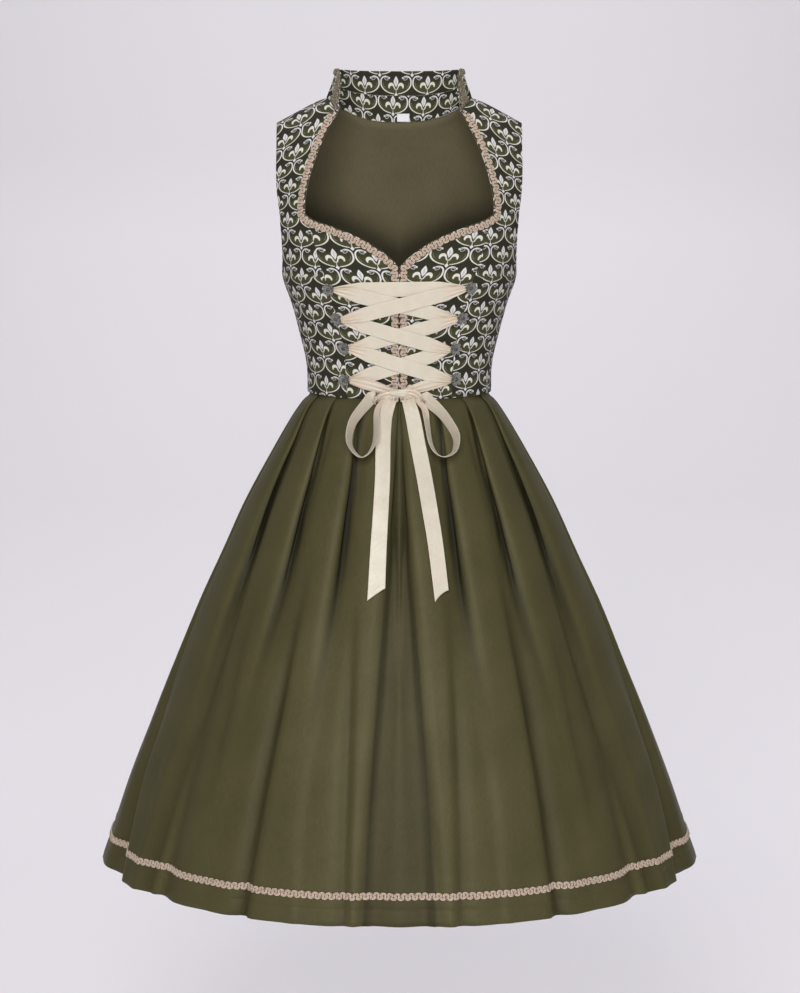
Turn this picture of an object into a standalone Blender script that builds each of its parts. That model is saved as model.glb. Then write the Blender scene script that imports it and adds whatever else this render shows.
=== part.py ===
"""Dirndl dress: bodice with a stand collar, ribbon lacing and a pleated skirt, in its worn form.

The dress is hollow and open at neck, armholes and hem. The tables are in millimetres, with heights
measured from the waist seam. add_object() turns them into metres about the origin, which is the
middle of the neck at the height of the neck points. The front faces -Y and +X is on the right hand
of someone who looks at the front: that half is `right` (side = 1) and the other `left` (side = -1).
A turn is an angle round the body in degrees, 0 at the centre front and 180 at the centre back.
"""
import math

import bmesh
import bpy
from mathutils import Vector

MM = 0.001

# Driving dimensions
NECK_HEIGHT = 421.0       # neck points above the waist seam
NECK_HALF = 103.0         # half the distance between the neck points
SHOULDER_HALF = 174.0     # half the distance between the shoulder tips
UNDERARM = 172.0          # underarm above the waist seam
SKIRT_LENGTH = 670.0      # waist seam to hem, straight down
BODICE_WALL = 1.5
LINING_WALL = 1.0
LINING_GAP = 0.7          # the lining hangs a little clear of the back
COLLAR_WALL = 2.0
SKIRT_WALL = 1.4
SEAM_GAP = 0.3
LAID_GAP = 0.4            # under what lies on a panel, whose facets are flat
COLLAR_BRAID_GAP = 0.95   # the collar twists more between its facets
BRAID_WIDTH = 12.0
BRAID_WALL = 1.5
RIBBON_WIDTH = 20.0
RIBBON_WALL = 1.0
ROSETTE_RADIUS = 9.0
ROSETTE_GAP = 0.8         # a flat disc on cloth that curves in at the waist

# The body form that the bodice is cut to: one row per level, up to the shoulder line
# level, height, half_width, front_depth, back_depth, squareness, shoulder_slope
FORM = (
    (0, 0, 132, 100, 92, 2.2, 0),
    (1, 45, 133.5, 103, 93, 2.2, 0),
    (2, 90, 143.5, 112, 96, 2.25, 0),
    (3, 130, 154, 123, 101, 2.35, 0),
    (4, 165, 166, 130, 106, 2.45, 0),
    (5, 200, 171, 128.5, 109, 2.45, 0),
    (6, 235, 177, 119, 110, 2.35, 0),
    (7, 270, 185, 106, 109, 2.3, 0.03),
    (8, 305, 192, 91, 104, 2.25, 0.14),
    (9, 340, 198, 74, 93, 2.2, 0.29),
    (10, 370, 203, 57, 77, 2.2, 0.41),
    (11, 395, 207, 40, 57, 2.2, 0.50),
    (12, 415, 210, 21, 30, 2.2, 0.55),
    (13, 426.6, 212, 0.01, 0.01, 2.2, 0.56),
)
SHOULDER_LEVEL = 13
SLOPE_SOFTNESS = 20.0     # how gently the shoulder slope sets in at the neck point

# height, x of the princess seam, which ends in the corner of the neckline
PRINCESS = ((0, 74), (25, 75), (72, 78), (112, 88), (153, 98), (190, 111), (236, 124), (258, 132))
# x, height of the heart-shaped top edge
SWEETHEART = ((0, 184), (12, 197), (39, 216), (67, 230), (96, 241), (119, 249), (132, 258))
# height, x of the strap's inner edge, up to the front end of the collar
STRAP = ((258, 132), (277, 131.3), (303, 126.5), (330, 118.8), (357, 108.5), (386, 94.4), (398, 87))
# height, x of the armhole edge
ARMHOLE = ((172, 166.9), (176, 166.8), (184, 166.1), (195, 165.7), (209, 165.8), (235, 167.3),
           (265, 169.5), (292, 172.5), (320, 173.6), (350, 173.4), (386, 174))
BACK_NECK_HEIGHT = 389.0

# Facets of the bodice panels, and where their edges change on the way from waist (0) to top (1)
FRONT_COLUMNS = 7
FRONT_ROWS = 12           # from the waist up to the corner of the neckline
STRAP_ROWS = 7
BACK_COLUMNS = 9          # of one half, centre back to side seam
BACK_NECK_COLUMNS = 5     # of them up to the neck point
CORNER_SHARE = 0.6        # the corner of the neckline, on the inner edge of the front
COLLAR_SHARE = 0.94       # the front end of the collar, on the same edge
UNDERARM_SHARE = 0.4      # the underarm, on the outer edge
SHOULDER_PLACE = 0.16     # the shoulder seam, on the way from the collar's end to the centre back

# Collar: place along it from the left front end to the centre back, x and y of the top edge,
# its height, mirrored to the right
COLLAR_TOP = ((0, 80, -26, 446), (0.07, 82, -19, 455), (0.16, 86, -8, 460), (0.3, 89, 8, 461.5),
              (0.5, 84, 32, 462), (0.75, 50, 60, 462), (1, 0, 69, 462))
COLLAR_HEIGHT = 62.0      # neck seam to top edge
COLLAR_HALF_LENGTH = 215.0

# Skirt: drop below the waist seam, outer half width, front depth, back depth
SKIRT = ((0, 129.2, 97.2, 89.2), (9, 139.3, 106, 98), (38, 158.9, 123, 115), (96, 192.6, 151.5, 143.5),
         (154, 223.5, 178, 169), (213, 251.6, 201.5, 192.5), (301, 293.4, 237, 228),
         (420, 343.1, 279, 270), (540, 391.8, 320.5, 312), (670, 438, 360, 352))
SKIRT_DROPS = (-8, 0, 22, 60, 102, 144, 190, 245, 330, 450, 628, 640, 670)
HEM_BRAID_ROWS = (628, 640)
FRONT_DIP = 8.0           # the hem hangs this much lower at the centre front
LAYER = 1.9               # from one folded layer to the next at the waist
LAYERS_DOUBLE = 150.0     # drop at which the folded layers stand twice as far apart
UNDERLAP = 12.0           # cloth tucked beneath each fold at the waist
WAVE_REACH = 1.6          # an open wave starts to fall this many laps before its edge
# Knife pleats of one half, fold edges towards the centre front: turn of the fold edge at waist and
# hem, drop at which the fold has opened to a wave, depth of that wave at the hem, how far it laps,
# how far its path bows sideways between waist and hem, share of its depth that is left at the hem;
# the one with a lap above 0 is a plain step back
PLEATS = (
    (0.5, 6.8, 250, 8, -26, 1.8, 1),
    (21.5, 23, 420, 7, -24, -2, 0.3),
    (42.5, 40, 430, 6, -24, -3, 0.3),
    (65.5, 52.5, 400, 12, -24, -2, 1),
    (84, 63.5, 640, 20, 9, 2.5, 1),
    (101, 95, 470, 10, -26, 0, 1),
    (118, 109, 430, 13, -26, 1, 1),
    (135, 126, 400, 11, -28, -1, 1),
    (152, 144, 420, 13, -25, 1, 1),
    (168, 162, 400, 12, -27, 0, 1),
)
SEAM_PLEAT = 4            # the side seam runs down the middle of this pleat
WAVE_FADES = (250.0, 450.0)     # drops between which the shallower waves fade
CENTRE_FILLS = (180.0, 420.0)   # drops between which the hollow at the centre front fills out again
CENTRE_FILL = 0.4         # share of its depth that it fills out by

# Lacing hooks from the top down: x and height of the rosette, left and right
HOOKS = ((-97.5, 154, 98.5, 156), (-87.5, 113, 87.5, 114), (-77, 71.5, 78, 70.5), (-77, 26, 79, 27.5))
# Lifts of the ribbon's middle over the bodice, one ply above the other
LOW, MIDDLE, HIGH = 2.9, 4.3, 5.7
# stretch, hook row and side it leaves, hook row and side it reaches, lift at its start and end,
# share of the way at which the lift changes
LACING = (
    ("lacing_top", 0, -1, 0, 1, LOW, LOW, 0.5),
    ("lacing_1_under", 0, -1, 1, 1, MIDDLE, LOW, 0.58),
    ("lacing_1_over", 0, 1, 1, -1, MIDDLE, HIGH, 0.38),
    ("lacing_2_under", 1, 1, 2, -1, MIDDLE, LOW, 0.58),
    ("lacing_2_over", 1, -1, 2, 1, MIDDLE, HIGH, 0.38),
    ("lacing_3_under", 2, 1, 3, -1, MIDDLE, LOW, 0.58),
    ("lacing_3_over", 2, -1, 3, 1, MIDDLE, HIGH, 0.38),
)
GATHERED_WIDTH = 8.0      # ribbon drawn together at a hook
KNOT = (-1.0, 10.5, 8.0)  # x, height, lift of its middle
KNOT_SIZE = (26.0, 10.0, 12.0)
# Stretches from the lowest hooks to the knot: x, height, lift, width, stand
# `stand` is how far the ribbon's width is turned up from the surface, in degrees
LOWEST_LEFT = ((-67.4, 25.5, MIDDLE, 8, 0), (-50, 22.5, 4.3, 13, 0), (-32, 18.5, 5, 12, 0),
               (-14, 14, 8, 7, 0))
LOWEST_RIGHT = ((69.4, 27, MIDDLE, 8, 0), (50, 24, 4.3, 13, 0), (30, 19, 5, 12, 0), (12, 14, 8, 7, 0))
LOOP_LEFT = ((-13.5, 5.5, 8, 5, 10), (-26, 5.5, 9, 8, 20), (-44, -6, 10, 15, 42), (-60, -25, 10, 18, 60),
             (-70, -48, 10, 18, 68), (-67, -67, 10, 18, 68), (-56, -77, 10, 18, 68),
             (-44, -72, 10, 18, 68), (-38.5, -55, 10, 17, 68), (-37.5, -34, 9, 15, 66),
             (-35, -19, 7, 9, 50), (-26, -9, 4.4, 6, 20), (-12, -1, 4.2, 5, 0))
LOOP_RIGHT = ((11.5, 5.5, 8, 5, -10), (26, 6, 9, 8, -20), (48, -5, 10, 15, -42), (68, -25, 10, 18, -60),
              (82, -50, 10, 18, -68), (80, -67, 10, 18, -68), (68, -77, 10, 18, -68),
              (55, -72, 10, 18, -68), (47, -55, 10, 17, -68), (43, -34, 9, 15, -66),
              (38, -19, 7, 9, -50), (27, -9, 4.4, 6, -20), (10, -1, 4.2, 5, 0))
TAIL_LEFT = ((-7, -0.9, 8.2, 8, 0), (-14.5, -15, 7.5, 13, 0), (-20.5, -40, 4, 17, 0), (-25, -80, 2.2, 19, 0),
             (-29, -140, 2.0, 20, 0), (-32, -200, 2.0, 20, 0), (-34, -256, 2.0, 20, 0))
TAIL_RIGHT = ((5, -0.9, 8.2, 8, 0), (11.5, -15, 7.5, 13, 0), (19.5, -40, 4, 18, 0), (28, -80, 2.2, 20, 0),
              (37, -140, 2.0, 20, 0), (46, -200, 2.0, 20, 0), (55, -256, 2.0, 20, 0))
TAIL_SLANT = 8.0          # the outer corner of a cut end reaches this much lower, the inner higher

# Cloth and metal: base colour, roughness, metallic
PRINTED_GREEN = ((0.060, 0.068, 0.035), 0.55, 0.0)
OLIVE = ((0.115, 0.108, 0.055), 0.6, 0.0)
OLIVE_LINING = ((0.105, 0.095, 0.050), 0.7, 0.0)
IVORY_SATIN = ((0.86, 0.79, 0.66), 0.35, 0.0)
ROSE_BRAID = ((0.60, 0.45, 0.33), 0.7, 0.0)
WHITE_TAPE = ((0.82, 0.82, 0.84), 0.8, 0.0)
ANTIQUE_SILVER = ((0.42, 0.41, 0.38), 0.35, 1.0)


# ---------------------------------------------------------------- tables and curves

def smooth(table, key):
    """The row of a table at `key`, its first column, on a smooth curve through the rows."""
    last = len(table) - 2
    i = 0
    while i < last and key > table[i + 1][0]:
        i += 1
    before, a, b, after = table[max(i - 1, 0)], table[i], table[i + 1], table[min(i + 2, last + 1)]
    span = b[0] - a[0]
    t = min(max((key - a[0]) / span, 0.0), 1.0)
    row = []
    for column in range(1, len(a)):
        slope_a = (b[column] - before[column]) / (b[0] - before[0])
        slope_b = (after[column] - a[column]) / (after[0] - a[0])
        row.append(a[column] * (1 + 2 * t) * (1 - t) ** 2 + slope_a * span * t * (1 - t) ** 2
                   + b[column] * (3 - 2 * t) * t * t - slope_b * span * (1 - t) * t * t)
    return row


def ease(t):
    """0 to 1 with a soft start and end."""
    t = min(max(t, 0.0), 1.0)
    return t * t * (3 - 2 * t)


def mix(a, b, t):
    return a + (b - a) * t


def spread(parts):
    """Even steps through stretches given as (start, end, steps), each end only once."""
    values = [parts[0][0]]
    for start, end, steps in parts:
        values += [mix(start, end, (i + 1) / steps) for i in range(steps)]
    return values


# ---------------------------------------------------------------- the body form

def shoulder_ramp(x):
    reach = abs(x) - NECK_HALF
    return (math.hypot(reach, SLOPE_SOFTNESS) + reach) / 2


def form_place(level, turn):
    """The point of the form at a level and turn."""
    height, half_width, front, back, squareness, slope = smooth(FORM, level)
    power = 2 / squareness
    across, along = math.sin(math.radians(turn)), math.cos(math.radians(turn))
    x = half_width * math.copysign(abs(across) ** power, across)
    depth = front if along > 0 else back
    y = -depth * math.copysign(abs(along) ** power, along)
    return Vector((x, y, height - slope * shoulder_ramp(x)))


def form_point(level, turn, out=0.0):
    """The point of the form, moved out at right angles to it."""
    place = form_place(level, turn)
    if out == 0.0:
        return place
    low, high = max(level - 0.05, 0), min(level + 0.05, SHOULDER_LEVEL)
    rising = form_place(high, turn) - form_place(low, turn)
    turning = form_place(level, turn + 0.4) - form_place(level, turn - 0.4)
    normal = turning.cross(rising).normalized()
    return place + normal * out


def locate(x, height, front=True):
    """Level and turn of the form's point with this x and height."""
    low, high = 0.0, float(SHOULDER_LEVEL)
    for _ in range(40):
        level = (low + high) / 2
        row = smooth(FORM, level)
        if row[0] - row[5] * shoulder_ramp(x) < height:
            low = level
        else:
            high = level
    row = smooth(FORM, level)
    share = min(abs(x) / row[1], 1.0)
    turn = math.degrees(math.asin(share ** (row[4] / 2)))
    if not front:
        turn = 180 - turn
    return level, math.copysign(turn, x)


def shoulder_turn(x):
    """Turn on the shoulder line, where front and back meet, for an x on the front."""
    row = smooth(FORM, SHOULDER_LEVEL)
    return math.degrees(math.asin((abs(x) / row[1]) ** (row[4] / 2)))


def keep_off_shoulder_line(point, front):
    """Hold a panel on its own side of the shoulder seam."""
    half_gap = SEAM_GAP / 2
    point.y = min(point.y, -half_gap) if front else max(point.y, half_gap)
    return point


# ---------------------------------------------------------------- bodice panels

def panel(places, front, out, wall):
    """Outer and inner points of a panel over rows of (level, turn) places, with seam gaps."""
    outer, inner = [], []
    for row in places:
        outer.append([keep_off_shoulder_line(form_point(level, turn, out), front)
                      for level, turn in row])
        inner.append([keep_off_shoulder_line(form_point(level, turn, out - wall), front)
                      for level, turn in row])
    return outer, inner


def between(left, right, columns):
    """Places from one edge to the other, half a seam gap short of both."""
    width = (form_place(*left) - form_place(*right)).length
    inset = SEAM_GAP / 2 / width
    shares = [mix(inset, 1 - inset, c / columns) for c in range(columns + 1)]
    return [(mix(left[0], right[0], s), mix(left[1], right[1], s)) for s in shares]


def front_centre_places(side):
    """Centre front to princess seam, waist to heart-shaped edge."""
    tops = []
    for c in range(FRONT_COLUMNS + 1):
        height = SWEETHEART[0][1]
        for _ in range(12):
            height = smooth(SWEETHEART, c / FRONT_COLUMNS * smooth(PRINCESS, height)[0])[0]
        tops.append(height)
    places = []
    for r in range(FRONT_ROWS + 1):
        row = []
        for c in range(FRONT_COLUMNS + 1):
            height = tops[c] * r / FRONT_ROWS
            seam = smooth(PRINCESS, height)[0] - SEAM_GAP / 2
            x = mix(SEAM_GAP / 2, seam, c / FRONT_COLUMNS)
            level, turn = locate(x, height)
            row.append((level, side * turn))
        places.append(row)
    return places


def strap_edge(share):
    """Inner edge of the front side panel: princess seam, strap and collar seam, share 0 to 1."""
    if share <= CORNER_SHARE:
        height = PRINCESS[-1][0] * share / CORNER_SHARE
        return locate(smooth(PRINCESS, height)[0], height)
    collar_place = locate(STRAP[-1][1], STRAP[-1][0])
    if share <= COLLAR_SHARE:
        along = (share - CORNER_SHARE) / (COLLAR_SHARE - CORNER_SHARE)
        height = mix(STRAP[0][0], STRAP[-1][0], along)
        return locate(smooth(STRAP, height)[0], height)
    t = (share - COLLAR_SHARE) / (1 - COLLAR_SHARE)
    neck_place = (SHOULDER_LEVEL, shoulder_turn(NECK_HALF))
    return mix(collar_place[0], neck_place[0], t), mix(collar_place[1], neck_place[1], t)


def armhole_edge(share, front):
    """Side seam and armhole edge, share 0 at the waist to 1 at the shoulder tip."""
    if share <= UNDERARM_SHARE:
        level, _ = locate(0, UNDERARM * share / UNDERARM_SHARE)
        return level, 90.0
    if share >= 1:
        turn = shoulder_turn(SHOULDER_HALF)
        return SHOULDER_LEVEL, turn if front else 180 - turn
    closer_at_the_round = ((share - UNDERARM_SHARE) / (1 - UNDERARM_SHARE)) ** 1.6
    height = mix(UNDERARM, ARMHOLE[-1][0], closer_at_the_round)
    return locate(smooth(ARMHOLE, height)[0], height, front)


def front_side_places(side):
    """Princess seam to side seam, waist to shoulder seam."""
    stretches = ((0, CORNER_SHARE, FRONT_ROWS), (CORNER_SHARE, COLLAR_SHARE, STRAP_ROWS),
                 (COLLAR_SHARE, 1, 2))
    places = []
    for share in spread(stretches):
        row = between(strap_edge(share), armhole_edge(share, True), FRONT_COLUMNS)
        places.append([(level, side * turn) for level, turn in row])
    return places


def raised_hem(walls, share):
    """Walls whose lowest row is moved up by a share of its row step."""
    return [[[a.lerp(b, share) for a, b in zip(grid[0], grid[1])]] + grid[1:] for grid in walls]


def back_neck_height(x):
    rise = NECK_HEIGHT - BACK_NECK_HEIGHT
    return BACK_NECK_HEIGHT + rise * (abs(x) / NECK_HALF) ** 2.6


def back_neck_place(column):
    """Level and turn of the back's neck edge at one of its columns, 0 at the centre back."""
    if column == BACK_NECK_COLUMNS:
        return SHOULDER_LEVEL, 180 - shoulder_turn(NECK_HALF)
    x = NECK_HALF * math.sin(math.radians(90 * column / BACK_NECK_COLUMNS))
    return locate(x, back_neck_height(x), False)


def back_places():
    """Side seam to side seam over the back, waist to shoulder seams and neck edge."""
    tip_turn = shoulder_turn(SHOULDER_HALF)
    places = []
    for share in spread(((0, 0.6, 8), (0.6, 1, 7))):
        edge_level, edge_turn = armhole_edge(share, False)
        right = []
        for c in range(BACK_COLUMNS + 1):
            across = c / BACK_COLUMNS
            top_level, top_turn = SHOULDER_LEVEL, 180 - across * tip_turn
            if c <= BACK_NECK_COLUMNS:
                top_level, top_turn = back_neck_place(c)
            level = edge_level * top_level / SHOULDER_LEVEL
            turn = 180 - across * (180 - edge_turn)
            turn += share ** 3 * (top_turn - (180 - across * tip_turn))
            right.append((level, turn))
        seam_point = form_place(*right[-1])
        width = (seam_point - form_place(*right[-2])).length
        inset = SEAM_GAP / 2 / width
        right[-1] = (right[-1][0], mix(right[-1][1], right[-2][1], inset))
        left = [(level, -turn) for level, turn in reversed(right[1:])]
        places.append(left + right)
    return places


# ---------------------------------------------------------------- neck edge and collar

def neck_edge(place):
    """Neck edge from the left front end (0) over the back (1) to the right front end (2)."""
    side = -1 if place < 1 else 1
    t = place if place < 1 else 2 - place
    if t < SHOULDER_PLACE:
        point = form_place(*strap_edge(mix(COLLAR_SHARE, 1, t / SHOULDER_PLACE)))
    else:
        column = BACK_NECK_COLUMNS * (1 - t) / (1 - SHOULDER_PLACE)
        near = min(int(column), BACK_NECK_COLUMNS - 1)
        point = form_place(*back_neck_place(near)).lerp(form_place(*back_neck_place(near + 1)),
                                                        column - near)
    point.x *= side
    return point


def collar_point(place, share, out):
    """A point of the collar: place along it, share 0 at the neck seam to 1 at the top edge."""
    def middle(at, up):
        at = min(max(at, 0.0), 2.0)
        side = -1 if at < 1 else 1
        x, y, height = smooth(COLLAR_TOP, at if at < 1 else 2 - at)
        low = neck_edge(at)
        inward = Vector((-low.x, -low.y, 0)).normalized()
        low = low + inward * 0.5 + Vector((0, 0, 0.6))
        return low.lerp(Vector((side * x, y, height)), up)
    point = middle(place, share)
    along = middle(place + 0.02, share) - middle(place - 0.02, share)
    rising = middle(place, 1) - middle(place, 0)
    return point + rising.cross(along).normalized() * out


def collar_places():
    return spread(((0, SHOULDER_PLACE, 3), (SHOULDER_PLACE, 2 - SHOULDER_PLACE, 20),
                   (2 - SHOULDER_PLACE, 2, 3)))


def collar_walls():
    places = collar_places()
    outer, inner = [], []
    for share in (0, 0.5, 1):
        outer.append([collar_point(place, share, COLLAR_WALL / 2) for place in places])
        inner.append([collar_point(place, share, -COLLAR_WALL / 2) for place in places])
    return outer, inner


def neck_tab_walls():
    """Blank folded tab on the inside of the collar, just above the neck seam."""
    near = -COLLAR_WALL / 2 - SEAM_GAP
    rows = (0.01, 0.16)
    places = (0.985, 1.03, 1.075)
    outer = [[collar_point(place, share, near) for place in places] for share in rows]
    inner = [[collar_point(place, share, near - 1.0) for place in places] for share in rows]
    return outer, inner


def collar_braid_walls():
    """Braid on the outside of the collar: up one front edge, along the top, down the other."""
    near = COLLAR_WALL / 2 + COLLAR_BRAID_GAP
    low = 1 - BRAID_WIDTH / COLLAR_HEIGHT
    shares = (0.02, 0.35, 0.7)
    path = []
    for end, inward in ((0, 1), (2, -1)):
        far = end + inward * BRAID_WIDTH / COLLAR_HALF_LENGTH
        rise = [((end, share), (far, share)) for share in shares]
        rise.append(((end, 1.0), (far, low)))
        along = [((place, 1.0), (place, low)) for place in collar_places()
                 if 0.1 < abs(place - end) <= 1]
        path += rise + along if end == 0 else (rise + along[::-1])[::-1][1:]
    outer, inner = [], []
    for edge, far in path:
        outer.append([collar_point(*far, near + BRAID_WALL), collar_point(*edge, near + BRAID_WALL)])
        inner.append([collar_point(*far, near), collar_point(*edge, near)])
    return outer, inner


# ---------------------------------------------------------------- braid along the neckline

def neckline_path(side):
    """(x, height) along the edge: up the centre front, over the heart shape, up the strap."""
    path = [(SEAM_GAP, height) for height in spread(((3, SWEETHEART[0][1], 9),))]
    path += [(x, smooth(SWEETHEART, x)[0]) for x in spread(((8, SWEETHEART[-1][0], 11),))]
    path += [(smooth(STRAP, height)[0], height) for height in spread(((268, 396, 11),))]
    return [(side * x, height) for x, height in path]


def front_point(x, height, out):
    level, turn = locate(x, height)
    return form_point(level, turn, out)


def front_braid_walls(side):
    """A flat band just inside the edge of the front, mitred at its corners."""
    path = neckline_path(side)
    outer, inner = [], []
    for i, (x, height) in enumerate(path):
        ahead = [front_point(*path[min(i + 1, len(path) - 1)], 0) - front_point(x, height, 0)]
        ahead.append(front_point(x, height, 0) - front_point(*path[max(i - 1, 0)], 0))
        steps = [step.normalized() for step in ahead if step.length > 0.01]
        heading = sum(steps, Vector()).normalized()
        normal = (front_point(x, height, 1) - front_point(x, height, 0)).normalized()
        across = heading.cross(normal) * side
        spread_out = min(1 / max(heading.dot(steps[0]), 0.5), 1.35)
        band = []
        for reach in (0.4, 0.4 + BRAID_WIDTH / 2, 0.4 + BRAID_WIDTH):
            moved = across * reach * spread_out
            band.append((x + moved.x, height + moved.z))
        outer.append([front_point(*place, LAID_GAP + BRAID_WALL) for place in band])
        inner.append([front_point(*place, LAID_GAP) for place in band])
    return outer, inner


# ---------------------------------------------------------------- skirt

def skirt_squareness(drop):
    return 2 + 0.2 * (1 - ease(drop / 120))


def ring_place(turn, drop):
    """The outermost ring of the skirt, at the middle of its cloth."""
    half_width, front, back = smooth(SKIRT, max(drop, 0.0))
    power = 2 / skirt_squareness(drop)
    across, along = math.sin(math.radians(turn)), math.cos(math.radians(turn))
    x = (half_width - SKIRT_WALL / 2) * math.copysign(abs(across) ** power, across)
    depth = (front if along > 0 else back) - SKIRT_WALL / 2
    return Vector((x, -depth * math.copysign(abs(along) ** power, along)))


def ring_point(turn, drop, depth=0.0, shift=0.0):
    """A point `depth` inside the ring and `shift` millimetres further along it."""
    degree = ring_place(turn + 0.5, drop) - ring_place(turn - 0.5, drop)
    turn += shift / max(degree.length, 0.1)
    place = ring_place(turn, drop)
    along = (ring_place(turn + 0.5, drop) - ring_place(turn - 0.5, drop)).normalized()
    return place + Vector((-along.y, along.x)) * depth


def fold_turn(pleat, drop):
    share = min(max(drop, 0.0) / SKIRT_LENGTH, 1.0)
    bow = pleat[5] * math.sin(math.pi * share)
    return mix(pleat[0], pleat[1], share) + bow


def layer_step(drop):
    return LAYER * (1 + max(drop, 0) / LAYERS_DOUBLE)


def wave_depth(pleat, drop):
    fades = ease((drop - WAVE_FADES[0]) / (WAVE_FADES[1] - WAVE_FADES[0]))
    return pleat[3] * min(max(drop, 0) / SKIRT_LENGTH, 1) ** 0.35 * mix(1, pleat[6], fades)


def fold_points(pleat, drop):
    """Hidden turn and fold edge of a pleat: underlap, its turn back, and both sides of the edge."""
    opened = ease(drop / pleat[2])
    depth = wave_depth(pleat, drop)
    turn = fold_turn(pleat, drop)
    lap = pleat[4]
    shape_at_waist = ((UNDERLAP, 2), (UNDERLAP, 1), (0, 1), (0, 0))
    if lap > 0:
        shape_below = ((-9, 0), (-3, 0.02), (2, 0.3), (lap, 0.75))
        opened = 1
    else:
        to_centre = (ring_place(turn, drop) - ring_place(0, drop)).length
        lap = max(lap, -0.75 * to_centre)
        shape_below = ((lap, 0.95), (lap * 0.6, 1.0), (lap * 0.2, 0.45), (-lap * 0.4, 0))
    shape = [(mix(shift, shift_below, opened), mix(layers * layer_step(drop), depth * share, opened))
             for (shift, layers), (shift_below, share) in zip(shape_at_waist, shape_below)]
    return [ring_point(turn, drop, deep, shift) for shift, deep in shape]


def panel_points(pleat, following, drop):
    """The visible cloth of a pleat, which slopes in under the next fold edge."""
    opened = ease(drop / following[2])
    depth = wave_depth(following, drop)
    start, end = fold_turn(pleat, drop), fold_turn(following, drop)
    width = (ring_place(start, drop) - ring_place(end, drop)).length
    stepped = following[4] > 0
    flat, tucked = (UNDERLAP + 2) / width, 0.7 if stepped else 1 - 2.5 / width
    falls = 0.74 if stepped else max(1 + WAVE_REACH * following[4] / width, 0.5)
    points = []
    for at_waist, deep_waist, at_hem, deep_hem in ((flat, 0.0, 0.3 * falls / 0.74, 0.0),
                                                   ((flat + tucked) / 2, 0.5, 0.72 * falls, 0.12),
                                                   (tucked, 1.0, falls, 0.5)):
        turn = mix(start, end, mix(at_waist, at_hem, opened))
        deep = 0 if stepped else mix(2 * layer_step(drop) * deep_waist, depth * deep_hem, opened)
        points.append(ring_point(turn, drop, deep))
    return points


def half_section(drop):
    """Middle line of the cloth from the centre front to the centre back on the right."""
    first = fold_points(PLEATS[0], drop)
    fills = ease((drop - CENTRE_FILLS[0]) / (CENTRE_FILLS[1] - CENTRE_FILLS[0]))
    depth = mix(2 * layer_step(drop), PLEATS[0][3] * (1 - CENTRE_FILL * fills), ease(drop / PLEATS[0][2]))
    points = [ring_point(0, drop, depth)] + first
    seam_at = 0
    for i, pleat in enumerate(PLEATS[:-1]):
        visible = panel_points(pleat, PLEATS[i + 1], drop)
        if i == SEAM_PLEAT:
            seam_at = len(points) + 1
        points += visible + fold_points(PLEATS[i + 1], drop)
    last = fold_turn(PLEATS[-1], drop)
    points += [ring_point(mix(last, 180, share), drop) for share in (0.5, 1)]
    return points, seam_at


def section(drop, front):
    """Middle line of the skirt front, or of its back, from left seam to right seam."""
    points, seam_at = half_section(drop)
    half = points[:seam_at + 1] if front else points[seam_at:][::-1]
    toward_seam = (half[-2] - half[-1]).normalized()
    half[-1] = half[-1] + toward_seam * SEAM_GAP / 2
    mirrored = [Vector((-p.x, p.y)) for p in reversed(half[1:])]
    return mirrored + half


def moved_out(line, distance, front):
    """The line moved outwards, with mitred corners."""
    sign = 1 if front else -1
    moved = []
    for i, point in enumerate(line):
        before = (point - line[max(i - 1, 0)]).normalized()
        after = (line[min(i + 1, len(line) - 1)] - point).normalized()
        before = before if i > 0 else after
        after = after if i < len(line) - 1 else before
        heading = (before + after).normalized()
        mitre = 1 / max(heading.dot(after), 0.62)
        moved.append(point + Vector((heading.y, -heading.x)) * distance * mitre * sign)
    return moved


def hung(line, drop):
    """The line at its height, which is lower towards the centre front."""
    low = FRONT_DIP * (max(drop, 0) / SKIRT_LENGTH) ** 3
    depth = SKIRT[-1][2]
    return [Vector((p.x, p.y, -drop - low * ease(-p.y / depth))) for p in line]


def skirt_band(drops, front, near, far):
    """Outer and inner points of a band round the skirt between two distances from its cloth."""
    outer, inner = [], []
    for drop in drops:
        line = section(drop, front)
        outer.append(hung(moved_out(line, far, front), drop))
        inner.append(hung(moved_out(line, near, front), drop))
    return outer, inner


# ---------------------------------------------------------------- ribbon

def dress_front(x, height):
    """The front surface that the ribbon lies on: bodice above the waist seam, skirt below."""
    if height >= 0:
        return front_point(x, height, 0)
    half_width, front, _ = smooth(SKIRT, -height)
    squareness = skirt_squareness(-height)
    share = min(abs(x) / half_width, 0.99)
    return Vector((x, -front * (1 - share ** squareness) ** (1 / squareness), height))


def outward(x, height):
    across = dress_front(x + 2, height) - dress_front(x - 2, height)
    rising = dress_front(x, height + 3) - dress_front(x, height - 3)
    return across.cross(rising).normalized()


def ribbon_walls(rows, steps, slant=0.0):
    """A ribbon along rows of x, height, lift, width and stand, with a slanted end."""
    table = [(i,) + tuple(row) for i, row in enumerate(rows)]
    stations = [smooth(table, (len(rows) - 1) * i / steps) for i in range(steps + 1)]
    middles = [dress_front(x, height) + outward(x, height) * lift
               for x, height, lift, _, _ in stations]
    outer, inner = [], []
    for i, (x, height, _, width, stand) in enumerate(stations):
        heading = (middles[min(i + 1, steps)] - middles[max(i - 1, 0)]).normalized()
        normal = outward(x, height)
        flat = heading.cross(normal).normalized()
        normal = flat.cross(heading).normalized()
        angle = math.radians(stand)
        across = flat * math.cos(angle) + normal * math.sin(angle)
        face = across.cross(heading).normalized()
        if face.dot(normal) < 0:
            face = -face
        ends = []
        for reach in (-width / 2, width / 2):
            cut = heading * slant * reach / (width / 2) if i == steps else Vector()
            ends.append(middles[i] + across * reach + cut)
        outer.append([end + face * RIBBON_WALL / 2 for end in ends])
        inner.append([end - face * RIBBON_WALL / 2 for end in ends])
    return outer, inner


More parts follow.
